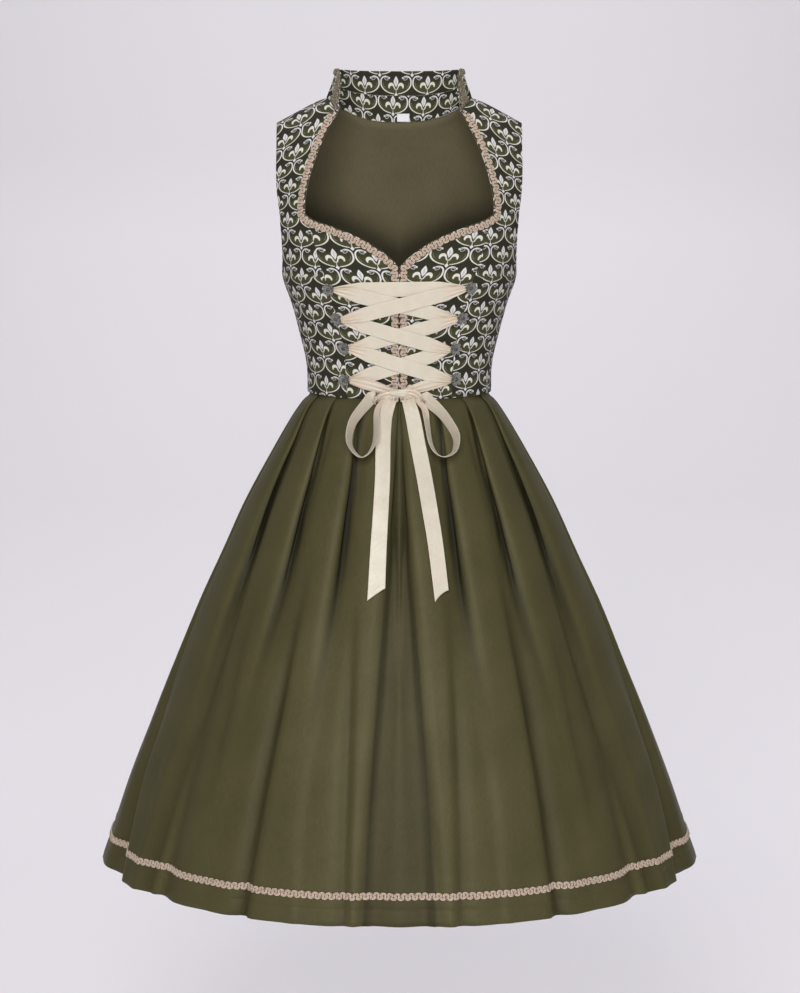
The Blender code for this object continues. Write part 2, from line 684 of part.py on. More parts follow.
def lacing_rows(start, start_side, end, end_side, lift_start, lift_end, change):
    """A stretch from hook to hook, drawn together at both."""
    def hook(row, side):
        x, height = HOOKS[row][:2] if side < 0 else HOOKS[row][2:]
        return x - side * (ROSETTE_RADIUS + 1.2), height
    (x0, z0), (x1, z1) = hook(start, start_side), hook(end, end_side)
    rows = []
    for share in spread(((0, 1, 13),)):
        width = mix(GATHERED_WIDTH, RIBBON_WIDTH, ease(min(share, 1 - share) / 0.26))
        lift = mix(lift_start, lift_end, ease((share - change) / 0.16 + 0.5))
        rows.append((mix(x0, x1, share), mix(z0, z1, share), lift, width, 0))
    return rows


# ---------------------------------------------------------------- meshes and objects

def shell(outer, inner):
    """Points and triangles of a closed wall between two grids of points."""
    rows, columns = len(outer), len(outer[0])
    points = [p for row in outer for p in row] + [p for row in inner for p in row]
    offset = rows * columns
    faces = []

    def quad(a, b, c, d):
        faces.append((a, b, c))
        faces.append((a, c, d))

    for r in range(rows - 1):
        for c in range(columns - 1):
            a, b = r * columns + c, r * columns + c + 1
            d, e = a + columns, b + columns
            quad(a, b, e, d)
            faces.append((a + offset, e + offset, b + offset))
            faces.append((a + offset, d + offset, e + offset))
    rim = [(c, c + 1) for c in range(columns - 1)]
    rim += [(r * columns + columns - 1, (r + 1) * columns + columns - 1) for r in range(rows - 1)]
    rim += [((rows - 1) * columns + c + 1, (rows - 1) * columns + c) for c in range(columns - 2, -1, -1)]
    rim += [((r + 1) * columns, r * columns) for r in range(rows - 2, -1, -1)]
    for a, b in rim:
        quad(b, a, a + offset, b + offset)
    return points, faces


def make_material(name, finish):
    colour, roughness, metallic = finish
    material = bpy.data.materials.new(name)
    material.use_nodes = True
    shader = material.node_tree.nodes["Principled BSDF"]
    shader.inputs["Base Color"].default_value = (*colour, 1.0)
    shader.inputs["Roughness"].default_value = roughness
    shader.inputs["Metallic"].default_value = metallic
    return material


def add_object(name, mesh, finish, location, rotation=None):
    mesh.shade_smooth()
    mesh.set_sharp_from_angle(angle=math.radians(50))
    obj = bpy.data.objects.new(name, mesh)
    obj.location = location
    if rotation is not None:
        obj.rotation_mode = "QUATERNION"
        obj.rotation_quaternion = rotation
    obj.data.materials.append(make_material(name + "_material", finish))
    bpy.context.scene.collection.objects.link(obj)
    return obj


def to_metres(point):
    return Vector((point.x, point.y, point.z - NECK_HEIGHT)) * MM


def add_walls(name, walls, finish):
    """One object from the outer and inner points of a wall, with its origin in its middle."""
    points, faces = shell(*walls)
    points = [to_metres(p) for p in points]
    middle = sum(points, Vector()) / len(points)
    mesh = bpy.data.meshes.new(name)
    mesh.from_pydata([p - middle for p in points], [], faces)
    box = bmesh.new()
    box.from_mesh(mesh)
    bmesh.ops.recalc_face_normals(box, faces=box.faces)
    box.to_mesh(mesh)
    box.free()
    return add_object(name, mesh, finish, middle)


def rosette_mesh(name):
    """A flower disc: scalloped rim, raised ring of petals and a round boss, flat beneath."""
    petals = 7
    steps = petals * 2
    # radius, height, how far every second point is drawn in
    rings = ((ROSETTE_RADIUS, 0.0, 1.0), (ROSETTE_RADIUS, 1.2, 1.0), (6.2, 2.6, 0.8), (3.6, 1.8, 0.0),
             (2.4, 3.6, 0.0))
    mould = bmesh.new()
    loops = []
    for radius, height, scallop in rings:
        loop = []
        for i in range(steps):
            reach = (radius - scallop * (i % 2)) * MM
            angle = math.tau * i / steps
            loop.append(mould.verts.new((reach * math.cos(angle), reach * math.sin(angle), height * MM)))
        loops.append(loop)
    for low, high in zip(loops, loops[1:]):
        for i in range(steps):
            j = (i + 1) % steps
            mould.faces.new((low[i], low[j], high[j], high[i]))
    mould.faces.new(loops[0][::-1])
    mould.faces.new(loops[-1])
    mesh = bpy.data.meshes.new(name)
    mould.to_mesh(mesh)
    mould.free()
    return mesh


def add_rosettes():
    for side, label in ((-1, "left"), (1, "right")):
        for row, hook in enumerate(HOOKS):
            x, height = hook[:2] if side < 0 else hook[2:]
            normal = outward(x, height)
            place = dress_front(x, height) + normal * ROSETTE_GAP
            name = f"rosette_{label}_{row + 1}"
            add_object(name, rosette_mesh(name), ANTIQUE_SILVER, to_metres(place),
                       normal.to_track_quat("Z", "Y"))


def add_knot():
    x, height, lift = KNOT
    normal = outward(x, height)
    ball = bmesh.new()
    bmesh.ops.create_uvsphere(ball, u_segments=12, v_segments=8, radius=0.5)
    for vert in ball.verts:
        bulge = 1 - 0.12 * math.cos(4 * math.pi * vert.co.x)
        vert.co = Vector((vert.co.x * KNOT_SIZE[0], vert.co.y * KNOT_SIZE[1] * bulge,
                          vert.co.z * KNOT_SIZE[2] * bulge)) * MM
    mesh = bpy.data.meshes.new("bow_knot")
    ball.to_mesh(mesh)
    ball.free()
    place = dress_front(x, height) + normal * lift
    add_object("bow_knot", mesh, IVORY_SATIN, to_metres(place))


def add_bodice():
    for side, label in ((-1, "left"), (1, "right")):
        add_walls(f"front_centre_{label}", panel(front_centre_places(side), True, 0, BODICE_WALL),
                  PRINTED_GREEN)
        add_walls(f"front_side_{label}", panel(front_side_places(side), True, 0, BODICE_WALL),
                  PRINTED_GREEN)
        add_walls(f"braid_front_{label}", front_braid_walls(side), ROSE_BRAID)
    places = back_places()
    add_walls("back", panel(places, False, 0, BODICE_WALL), PRINTED_GREEN)
    lining = panel(places, False, -BODICE_WALL - LINING_GAP, LINING_WALL)
    add_walls("back_lining", raised_hem(lining, 0.6), OLIVE_LINING)
    add_walls("collar", collar_walls(), PRINTED_GREEN)
    add_walls("neck_tab", neck_tab_walls(), WHITE_TAPE)
    add_walls("braid_collar", collar_braid_walls(), ROSE_BRAID)


def add_skirt():
    near = SKIRT_WALL / 2 + LAID_GAP
    for front, label in ((True, "front"), (False, "back")):
        cloth = skirt_band(SKIRT_DROPS, front, -SKIRT_WALL / 2, SKIRT_WALL / 2)
        add_walls(f"skirt_{label}", cloth, OLIVE)
        braid = skirt_band(HEM_BRAID_ROWS, front, near, near + BRAID_WALL)
        add_walls(f"braid_hem_{label}", braid, ROSE_BRAID)


def add_ribbon():
    for name, *course in LACING:
        add_walls(name, ribbon_walls(lacing_rows(*course), 13), IVORY_SATIN)
    add_walls("lacing_4_left", ribbon_walls(LOWEST_LEFT, 7), IVORY_SATIN)
    add_walls("lacing_4_right", ribbon_walls(LOWEST_RIGHT, 7), IVORY_SATIN)
    add_walls("bow_loop_left", ribbon_walls(LOOP_LEFT, 26), IVORY_SATIN)
    add_walls("bow_loop_right", ribbon_walls(LOOP_RIGHT, 26), IVORY_SATIN)
    add_walls("bow_tail_left", ribbon_walls(TAIL_LEFT, 16, TAIL_SLANT), IVORY_SATIN)
    add_walls("bow_tail_right", ribbon_walls(TAIL_RIGHT, 16, TAIL_SLANT), IVORY_SATIN)
    add_knot()


def main():
    for obj in list(bpy.data.objects):
        bpy.data.objects.remove(obj)
    add_bodice()
    add_skirt()
    add_rosettes()
    add_ribbon()


main()
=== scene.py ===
"""Dirndl dress: printed bodice, olive skirt, ribbon lacing, braids and rosettes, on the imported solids.

Tables are in millimetres, with heights measured from the waist seam; to_metres() moves them into
the frame, whose origin is the middle of the neck. The front faces -Y. A turn is an angle round the
body in degrees, 0 at the centre front and 180 at the centre back. Grids of points are arrays of
rows by columns by three.
"""

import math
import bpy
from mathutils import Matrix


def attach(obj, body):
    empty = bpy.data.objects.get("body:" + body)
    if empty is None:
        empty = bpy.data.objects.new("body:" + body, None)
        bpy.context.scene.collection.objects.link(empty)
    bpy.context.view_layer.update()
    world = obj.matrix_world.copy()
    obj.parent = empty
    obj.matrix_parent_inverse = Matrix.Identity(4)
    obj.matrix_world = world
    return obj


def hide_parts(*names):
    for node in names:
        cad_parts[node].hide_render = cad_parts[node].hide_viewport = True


bl_info = {
    "name": "Dirndl dress",
    "version": (1, 0, 0),
    "blender": (4, 5, 0),
    "location": "3D View > Sidebar > Dress",
    "description": "Makes the cloth, trims and ribbon of a dirndl dress around its solids",
    "category": "Add Mesh",
}

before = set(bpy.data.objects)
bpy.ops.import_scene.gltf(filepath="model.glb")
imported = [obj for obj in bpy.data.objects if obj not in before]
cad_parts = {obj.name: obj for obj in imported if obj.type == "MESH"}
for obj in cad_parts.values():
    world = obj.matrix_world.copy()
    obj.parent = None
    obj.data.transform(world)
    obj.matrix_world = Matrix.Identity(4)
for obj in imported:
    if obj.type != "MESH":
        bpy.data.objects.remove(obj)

import bpy
import numpy as np
from mathutils import Vector

MM = 0.001
RADIAN = 57.3             # in degrees
NECK_HEIGHT = 421.0       # neck points above the waist seam
NECK_HALF = 103.0
SHOULDER_HALF = 174.0
UNDERARM = 172.0
SKIRT_LENGTH = 670.0
BACK_NECK_HEIGHT = 389.0
CORNER_SHARE = 0.6        # corner of the neckline, on the inner edge of the front from waist to top
COLLAR_SHARE = 0.94       # front end of the collar, on the same edge
UNDERARM_SHARE = 0.4      # underarm, on the outer edge
SHOULDER_PLACE = 0.16     # shoulder seam, on the way from the collar's end to the centre back
WAIST_RISE = 0.12         # levels by which the waist seam stands higher at the sides
COLLAR_HEIGHT = 62.0
COLLAR_HALF_LENGTH = 215.0
BACK_NECK_COLUMNS = 5
BACK_COLUMNS = 9
# rows and columns of the meshes' grids
CENTRE_GRID = (84, 30)
SIDE_ROWS, SIDE_COLUMNS = (64, 40, 9), 34
BACK_ROWS, LINING_ROWS, BACK_FINER = (60, 50), (50, 50), 5
SEWN_COLUMNS = 30         # between the columns that stand closer beside the seams
COLLAR_COLUMNS = 220
STRAP_FOOT_LEVEL = 7.2    # levels above which a panel's edge puckers less or not at all
BACK_SEAM_TOP_LEVEL = 5.4
LINING_INSET = 2.25       # the lining's outside lies this far inside the form

# height, half_width, front_depth, back_depth, squareness, shoulder_slope; one row per level
FORM = (
    (0, 0, 132, 100, 92, 2.2, 0),
    (1, 45, 133.5, 103, 93, 2.2, 0),
    (2, 90, 143.5, 112, 96, 2.25, 0),
    (3, 130, 154, 123, 101, 2.35, 0),
    (4, 165, 166, 130, 106, 2.45, 0),
    (5, 200, 171, 128.5, 109, 2.45, 0),
    (6, 235, 177, 119, 110, 2.35, 0),
    (7, 270, 185, 106, 109, 2.3, 0.03),
    (8, 305, 192, 91, 104, 2.25, 0.14),
    (9, 340, 198, 74, 93, 2.2, 0.29),
    (10, 370, 203, 57, 77, 2.2, 0.41),
    (11, 395, 207, 40, 57, 2.2, 0.50),
    (12, 415, 210, 21, 30, 2.2, 0.55),
    (13, 426.6, 212, 0.01, 0.01, 2.2, 0.56),
)
SHOULDER_LEVEL = 13
SLOPE_SOFTNESS = 20.0

# height, x of the princess seam
PRINCESS = ((0, 74), (25, 75), (72, 78), (112, 88), (153, 98), (190, 111), (236, 124), (258, 132))
# x, height of the heart-shaped top edge
SWEETHEART = ((0, 184), (12, 197), (39, 216), (67, 230), (96, 241), (119, 249), (132, 258))
# height, x of the strap's inner edge
STRAP = ((258, 132), (277, 131.3), (303, 126.5), (330, 118.8), (357, 108.5), (386, 94.4), (398, 87))
# height, x of the armhole edge
ARMHOLE = ((172, 166.9), (176, 166.8), (184, 166.1), (195, 165.7), (209, 165.8), (235, 167.3),
           (265, 169.5), (292, 172.5), (320, 173.6), (350, 173.4), (386, 174))
# place from the front end to the centre back, x and y of the collar's top edge, its height
COLLAR_TOP = ((0, 80, -26, 446), (0.07, 82, -19, 455), (0.16, 86, -8, 460), (0.3, 89, 8, 461.5),
              (0.5, 84, 32, 462), (0.75, 50, 60, 462), (1, 0, 69, 462))
# drop, outer half width, front depth, back depth of the skirt
SKIRT = ((0, 129.2, 97.2, 89.2), (9, 139.3, 106, 98), (38, 158.9, 123, 115), (96, 192.6, 151.5, 143.5),
         (154, 223.5, 178, 169), (213, 251.6, 201.5, 192.5), (301, 293.4, 237, 228),
         (420, 343.1, 279, 270), (540, 391.8, 320.5, 312), (670, 438, 360, 352))
SKIRT_WALL = 1.4
LAYER = 1.9
LAYERS_DOUBLE = 150.0
UNDERLAP = 12.0
FRONT_DIP = 8.0           # the hem hangs this much lower at the centre front
VALLEY_DEPTH = 6.5        # of the shadowed hollow before each fold edge
VALLEY_SHIFT = 8.0        # its middle's distance from the edge
VALLEY_REACH = (8.0, 0.03)     # its half width at the waist, and how that grows with the drop
VALLEY_GROWS = (12.0, 72.0)    # drops between which the hollow deepens
VALLEY_FADES = (230.0, 430.0)  # drops between which it fades
VALLEY_FADE = 0.9         # share of its depth that it loses
CENTRE_VALLEY = 0.5       # share of that depth beside the first pair of edges
CREASE_SIDES = (0.55, 1.25)    # shares of a crease's half width towards the centre front and away
# darkness of the cloth beside a fold edge; drops between which it grows and fades; its reach past
# the edge, its reach before the edge at the waist, that reach's growth with the drop, and its limit
FOLD_SHADOW = (0.92, (2, 26), (170, 480), (4.0, 1.0, 0.065, 13.0))
# darkness that stays between the two fold edges at the centre front, its middle's distance from an
# edge, its reaches towards the edge and towards the middle
CENTRE_SHADOW = (0.68, 5.0, 5.0, 8.0)
CENTRE_SHADOW_GROWS = (60, 200)    # drops between which it grows
CENTRE_SHADOW_LEFT = 0.42          # share of it that is left between the two edges
CENTRE_EDGE_SHADE = 0.6   # share of the other edges' darkness that the first pair has
CREASE_SHADOW = 0.045     # darkness of a hollow crease, for each millimetre of its depth
PANEL_COVER = (1.0, 1.0, 1.0)      # how much of that darkness each point of a pleat takes
FOLD_COVER = (1.0, 1.0, 0.9, 0.0)
WAVE_REACH = 1.6          # an open wave starts to fall this many laps before its edge
STEP_FALLS = 0.74         # share of the cloth before the plain step that stays level
MITRE_LIMIT = 0.62        # sharpest corner that a moved row keeps its distance at
FLAT_LENGTH = 7.0         # longest step between points across the skirt
HEM_BRAID_DROPS = (628.0, 640.0)
STITCH_ROWS = (-6, -2, -0.8, 0, 0.8, 2, 7)
# turn of the fold edge at waist and hem, drop at which the fold has opened to a wave, depth of that
# wave at the hem, how far it laps (below 0) or that it is a plain step back (above 0), how far its
# path bows, share of its depth left at the hem
PLEATS = (
    (0.5, 6.8, 250, 8, -26, 1.8, 1),
    (21.5, 23, 420, 7, -24, -2, 0.3),
    (42.5, 40, 430, 6, -24, -3, 0.3),
    (65.5, 52.5, 400, 12, -24, -2, 1),
    (84, 63.5, 640, 20, 9, 2.5, 1),
    (101, 95, 470, 10, -26, 0, 1),
    (118, 109, 430, 13, -26, 1, 1),
    (135, 126, 400, 11, -28, -1, 1),
    (152, 144, 420, 13, -25, 1, 1),
    (168, 162, 400, 12, -27, 0, 1),
)
SEAM_PLEAT = 4            # row of the plain step; the side seam lies on the cloth after it
WAVE_FADES = (250.0, 450.0)    # drops between which the shallower waves fade
CENTRE_FILLS = (180.0, 420.0)  # drops between which the hollow at the centre front fills out again
CENTRE_FILL = 0.4         # share of its depth that it fills out by
# x and height of the left and the right rosette of each row
HOOKS = ((-97.5, 154, 98.5, 156), (-87.5, 113, 87.5, 114), (-77, 71.5, 78, 70.5), (-77, 26, 79, 27.5))
SIDES = ((-1, "left"), (1, "right"))
HALVES = ((True, "front"), (False, "back"))

# turn and drop at the top and at the lower end of a soft crease, its half width and height
CREASES = (
    (-30.4, 150, -27.3, 1000, 13, -10), (33.0, 150, 27.8, 1000, 13, -10),
    (-13.2, 180, -7.8, 1000, 10, -4.5), (15.0, 180, 8.8, 1000, 10, -4.5),
    (-4.4, 330, -7.6, 1000, 8, -3), (4.9, 330, 8.2, 1000, 8, -3),
    (-55.0, 250, -51.5, 1000, 14, -6), (54.5, 250, 52.3, 1000, 14, -6),
    (-46, 240, -42.5, 560, 14, -3), (45.5, 260, 41.5, 600, 14, -3), (-58.5, 330, -57, 1000, 12, 3),
    (58.8, 330, 57.5, 1000, 12, 3), (-20.5, 420, -18, 1100, 16, 3), (21, 400, 19, 1100, 16, 3),
    (-72, 300, -70, 900, 22, -2.5), (73, 280, 70, 900, 22, -2.5),
    (92, 80, 86, 560, 10, -2.6), (-93, 90, -85, 540, 10, -2.4), (110, 60, 101, 480, 10, 2.2),
    (-109, 90, -101, 520, 10, 2.4), (127, 90, 116, 900, 13, -7), (-127, 60, -116, 900, 13, -7),
    (143, 80, 134, 480, 9, 2.2), (-144, 100, -134, 560, 9, 2.4), (160, 60, 152, 900, 12, -6),
    (-160, 80, -151, 900, 12, -6), (174, 90, 172, 560, 8, 2.2), (-175, 60, -172, 500, 8, 2.0),
)

PRINT_REPEAT = 50.0       # width of the print's repeat on the flat cloth
PRINT_TALL = 1.06         # its height, as a share of its width
CELL_SHIFT = 0.17         # share of that height by which a motif's cell lies low about its ring
LILY_RISE = 2.0           # the lily's middle stands this much above its ring's
# x and height of a lily's middle on the centre panels and the straps, by side
CENTRE_PINS = {-1: (-53.3, 173.8), 1: (35.9, 179.4)}
STRAP_PINS = {-1: (-141.8, 349.6), 1: (131.5, 356.8)}
CENTRE_REPEAT = 51.5      # width of the repeat as it lies stretched over the centre panels
CENTRE_TILT, STRAP_TILT = 0.045, 0.03    # slope of the print's rows there
COLLAR_SEAM = 0.52        # share of the collar's height where its inside is pieced
COLLAR_REPEAT = 45.5
# run and share of a lily's middle on the collar's inside, above and below its seam; slope of the lower row
COLLAR_PINS = ((-4.7, 0.80), (-9.4, 0.41))
COLLAR_SLOPE = 0.047
CORNER_LENGTH = 0.15      # place along the collar where the rounding of its front corners ends
CORNER_DROP = 0.34        # share of the collar's height that the rounding takes off
COLLAR_BRAID_REACH = 1.9  # the braid at the collar's front edges is this much wider
BUNCH = (0.11, 0.06, 0.075)   # where the braid bunches up at the corner, how far along, how much higher

# height of the front's lower neckline as it falls on the lining, at distances from the middle
LINING_SHADOW_FOOT = ((0, 193), (44, 219), (88, 241), (141, 252))
LINING_SHADOW = (0.78, 34.0, 1.6)   # darkness above that, its reach, and how sharply it ends
NECK_TAB_ROWS = (0.01, 0.16)   # shares of the collar's height that the tab covers
NECK_TAB_PLACES = (0.985, 1.075)   # places along the collar where it starts and ends

BRAID_WIDTH = 12.0
HEM_BRAID_SIZE = 0.92     # width of the hem's braid, as a share of its band
BRAID_PERIOD = 9.4
BRAID_SWING = 3.4
BRAID_STATIONS = 22       # of one period
STRAP_BRAID = (262, 396)  # heights between which the braid runs along the strap
# place across the braid's strand and height above the cloth, once round
BRAID_PROFILE = ((-1.75, 0.3), (-1.2, 1.5), (-0.6, 0.8), (0.0, 1.8), (0.6, 0.8), (1.2, 1.5),
                 (1.75, 0.3), (1.3, -0.2), (-1.3, -0.2))
# the same for the tape behind the cords
BRAID_TAPE = ((-4.9, 0.0), (-4.3, 0.5), (-2.0, 0.55), (0.0, 0.55), (2.0, 0.55), (4.3, 0.5), (4.9, 0.0),
              (0.0, -0.2))

RIBBON_WIDTH = 20.5
RIBBON_WALL = 0.5
RIBBON_COLUMNS = 27
RIBBON_FOLD = 1.8         # height of the small folds where it is gathered
GATHERED_WIDTH = 7.5
LACING_SPREAD = 0.2       # share of a stretch over which it widens from its hook
ROSETTE_GAP = 0.8         # between the cloth and a rosette's back
HOOK_REACH = 8.6          # the ribbon leaves a hook this far inside its middle
LOW, MIDDLE, HIGH = 2.9, 4.3, 5.7    # lifts of the ribbon's layers above the cloth
# stretch, hook row and side it leaves, hook row and side it reaches, lift at its start and end,
# share of the way at which the lift changes
LACING = (
    ("top", 0, -1, 0, 1, LOW, LOW, 0.5),
    ("1_under", 0, -1, 1, 1, MIDDLE, LOW, 0.58),
    ("1_over", 0, 1, 1, -1, MIDDLE, HIGH, 0.38),
    ("2_under", 1, 1, 2, -1, MIDDLE, LOW, 0.58),
    ("2_over", 1, -1, 2, 1, MIDDLE, HIGH, 0.38),
    ("3_under", 2, 1, 3, -1, MIDDLE, LOW, 0.58),
    ("3_over", 2, -1, 3, 1, MIDDLE, HIGH, 0.38),
)
KNOT = (-1.0, 10.5, 8.0)  # x, height, lift of its middle
KNOT_SIZE = (26.0, 10.0, 12.0)
# Stretches from the lowest hooks to the knot: x, height, lift, width, stand
# `stand` is how far the ribbon's width is turned up from the surface, in degrees
LOWEST_LEFT = ((-67.4, 26.5, MIDDLE, 9, 0), (-50, 23, 4.6, 15, 0), (-32, 18.5, 5.4, 15, 0),
               (-18, 14.5, 7, 12, 0), (-5, 11, 9, 8, 0))
LOWEST_RIGHT = ((69.4, 27, MIDDLE, 9, 0), (50, 23.5, 4.6, 15, 0), (32, 19, 5.4, 15, 0),
                (18, 15, 7, 12, 0), (5, 11, 9, 8, 0))
LOOP_LEFT = ((-3, 10.5, 9.5, 8, 10), (-13.1, 8.3, 9.5, 12, 20), (-22, 6.0, 9.5, 15, 34),
             (-36, -2, 10, 19, 54), (-51.2, -16.8, 10.5, 20.5, 64), (-64.4, -34.8, 11, 20.5, 67),
             (-69.2, -55, 11, 20.5, 68), (-65.8, -69.1, 11, 20.5, 68), (-53.9, -79.9, 11, 20.5, 68),
             (-42.6, -75.6, 11, 20.5, 68), (-34.5, -62.4, 11, 20.5, 68), (-31.9, -48.3, 11, 20, 67),
             (-31.6, -28.3, 10, 18, 62), (-29.6, -14.6, 8.5, 13, 45), (-21.5, -3.8, 7, 9, 24),
             (-6, 8.0, 7.5, 7, 6))
LOOP_RIGHT = ((2, 10.5, 9.5, 8, -10), (11.7, 10.5, 9.5, 12, -20), (22, 8, 9.5, 15, -34),
              (38.8, -6, 10, 19, -54), (55, -18.9, 10.5, 20.5, -64), (68.2, -34.9, 11, 20.5, -67),
              (78.4, -53.3, 11, 20.5, -68), (77.6, -69.4, 11, 20.5, -68), (71, -77.3, 11, 20.5, -68),
              (60.8, -80, 11, 20.5, -68), (50.5, -74.8, 11, 20.5, -68), (43.4, -62.5, 11, 20.5, -68),
              (40, -46.4, 11, 20, -67), (37.4, -30.4, 10, 18, -62), (34.8, -16.6, 8.5, 13, -45),
              (25.4, -5.2, 7, 9, -24), (8, 8.0, 7.5, 7, -6))
TAIL_LEFT = ((-4, 8.5, 8.2, 8, 0), (-10, -2, 8.2, 15, 10), (-16, -14, 7, 19, 22), (-19.8, -28, 5, 20.5, 22),
             (-22.1, -55, 3.5, 20.5, 12), (-22.8, -100.8, 2.2, 20.5, 6), (-25.2, -146.9, 2.0, 21, 2),
             (-28, -192.8, 2.0, 22, 0), (-31.2, -256.4, 2.0, 23.5, 0))
TAIL_RIGHT = ((4, 8.5, 8.2, 8, 0), (10, -2, 8.2, 15, -6), (15.2, -14, 7, 19, -8), (19.8, -31, 5, 20.5, -6),
              (26, -63, 3.5, 21, -2), (33.8, -100.9, 2.2, 21.5, 0), (42, -147.1, 2.0, 21.5, 0),
              (49.5, -193.2, 2.0, 21, 0), (57.6, -258.9, 2.0, 20.5, 0))
TAIL_LEFT_CUT = (9.0, 0.4)   # how far the cut end slants to each side, depth of its curved notch
TAIL_RIGHT_CUT = (7.4, 2.6)

# The stage is in metres
CAMERA_LENS = 80.58
CAMERA_PLACE = (0.001, -3.2, -0.169)
CAMERA_PITCH = 7.142
FLOOR = -1.55
STAGE_FRONT, STAGE_HALF_WIDTH = -9.0, 9.0
WALL_FOOT = 1.5           # where the floor starts to curve up into the wall
WALL_CURVE = 2.2
WALL_TOP = 6.0
# light, place, what it faces, size, power, colour
LIGHTS = (
    ("key", (-0.5, -3.9, 1.15), (0, 0, -0.65), (1.6, 2.1), 105, (1.0, 0.99, 0.97)),
    ("fill", (0.9, -3.9, 0.3), (0, 0, -0.95), (1.6, 1.6), 38, (0.99, 0.99, 1.0)),
    ("wall", (0.0, 0.9, 3.1), (0.0, 2.6, -1.5), (6.0, 1.2), 102, (0.99, 0.98, 1.0)),
    ("rear", (0.0, 2.6, 2.0), (0, 0.9, -1.5), (2.6, 1.0), 26, (1.0, 0.99, 1.0)),
)
WORLD_COLOUR = (0.97, 0.96, 1.0)
WORLD_STRENGTH = 0.13
STAGE_HEIGHT = 2.0        # of the backdrop that is in view
# share of that height, and the factor on the backdrop's colour there: painted light on the floor (above 1)
# and painted shade near the top (below 1), which even out how the lamps light it
STAGE_PAINTED_LIGHT = ((0.01, 1.12), (0.3, 1.0), (0.66, 1.0), (0.8, 0.94))


# ------------ tables and curves

def bend(a, b, slope_a, slope_b, t):
    """From a to b on a curve with these slopes at its ends."""
    return (a * (1 + 2 * t) * (1 - t) ** 2 + slope_a * t * (1 - t) ** 2
            + b * (3 - 2 * t) * t * t - slope_b * (1 - t) * t * t)


def smooth(table, key):
    """The columns of a table at `key`, its first column, on a smooth curve through the rows."""
    rows = np.asarray(table, float)
    key = np.asarray(key, float)
    last = len(rows) - 2
    i = np.clip(np.searchsorted(rows[:, 0], key) - 1, 0, last)
    a, b = rows[i], rows[i + 1]
    before, after = rows[np.maximum(i - 1, 0)], rows[np.minimum(i + 2, last + 1)]
    span = b[..., :1] - a[..., :1]
    t = np.clip((key[..., None] - a[..., :1]) / span, 0, 1)
    slope_a = (b - before) / (b - before)[..., :1]
    slope_b = (after - a) / (after - a)[..., :1]
    return np.moveaxis(bend(a, b, slope_a * span, slope_b * span, t)[..., 1:], -1, 0)


def ease(t):
    """0 to 1 with a soft start and end."""
    t = np.clip(t, 0.0, 1.0)
    return t * t * (3 - 2 * t)


def between(value, ends):
    """0 to 1 from one end to the other."""
    start, end = ends
    return ease((value - start) / (end - start))


def bell(distance, reach):
    """1 at no distance, falling off softly."""
    return np.exp(-(distance / reach) ** 2)


def mix(a, b, t):
    return a + (b - a) * t


def spread(parts):
    """Even steps through stretches given as (start, end, steps), each end only once."""
    values = [parts[0][0]]
    for start, end, steps in parts:
        values += [mix(start, end, (i + 1) / steps) for i in range(steps)]
    return np.array(values, float)


def unit(vectors):
    return vectors / np.maximum(np.linalg.norm(vectors, axis=-1, keepdims=True), 1e-9)


def arc(grid, axis):
    """Distance along one axis of a grid, from its first row or column."""
    steps = np.linalg.norm(np.diff(grid, axis=axis), axis=-1)
    first = np.zeros_like(np.take(steps, [0], axis=axis))
    return np.cumsum(np.concatenate([first, steps], axis=axis), axis=axis)


def to_metres(points):
    return (np.asarray(points, float) - (0, 0, NECK_HEIGHT)) * MM


def ripple(seed, x, low, high, count):
    """A soft uneven wave along x, between wavelengths low and high, about -1 to 1."""
    random = np.random.default_rng(seed)
    total = np.zeros_like(np.asarray(x, float))
    for _ in range(count):
        wavelength = random.uniform(low, high)
        phase = random.uniform(0, math.tau)
        total = total + random.uniform(0.6, 1.0) * np.sin(math.tau * x / wavelength + phase)
    return total / count


# ------------ the body form

def shoulder_ramp(x):
    reach = np.abs(x) - NECK_HALF
    return (np.hypot(reach, SLOPE_SOFTNESS) + reach) / 2


def form_place(level, turn):
    """Points of the form at levels and turns."""
    height, half_width, front, back, squareness, slope = smooth(FORM, level)
    power = 2 / squareness
    across, along = np.sin(np.radians(turn)), np.cos(np.radians(turn))
    x = half_width * np.sign(across) * np.abs(across) ** power
    y = -np.where(along > 0, front, back) * np.sign(along) * np.abs(along) ** power
    return np.stack([x, y, height - slope * shoulder_ramp(x)], -1)


def form_normal(level, turn):
    low, high = np.maximum(level - 0.05, 0), np.minimum(level + 0.05, SHOULDER_LEVEL)
    rising = form_place(high, turn) - form_place(low, turn)
    turning = form_place(level, turn + 0.4) - form_place(level, turn - 0.4)
    return unit(np.cross(turning, rising))


def form_point(level, turn, out=0.0):
    """Points of the form, moved out at right angles to it."""
    place = form_place(level, turn)
    return place + form_normal(level, turn) * np.asarray(out)[..., None]


def locate(x, height, front=True):
    """Level and turn of the form's points with this x and height."""
    x, height = np.broadcast_arrays(np.asarray(x, float), np.asarray(height, float))
    low, high = np.zeros(x.shape), np.full(x.shape, float(SHOULDER_LEVEL))
    for _ in range(26):
        level = (low + high) / 2
        row = smooth(FORM, level)
        below = row[0] - row[5] * shoulder_ramp(x) < height
        low, high = np.where(below, level, low), np.where(below, high, level)
    row = smooth(FORM, level)
    share = np.minimum(np.abs(x) / row[1], 1.0)
    turn = np.degrees(np.arcsin(share ** (row[4] / 2)))
    if not front:
        turn = 180 - turn
    return level, np.copysign(turn, x)


def shoulder_turn(x):
    row = smooth(FORM, SHOULDER_LEVEL)
    return math.degrees(math.asin((abs(x) / row[1]) ** (row[4] / 2)))


def front_point(x, height, out=0.0):
    level, turn = locate(x, height)
    return form_point(level, turn, out)


# ------------ bodice panels

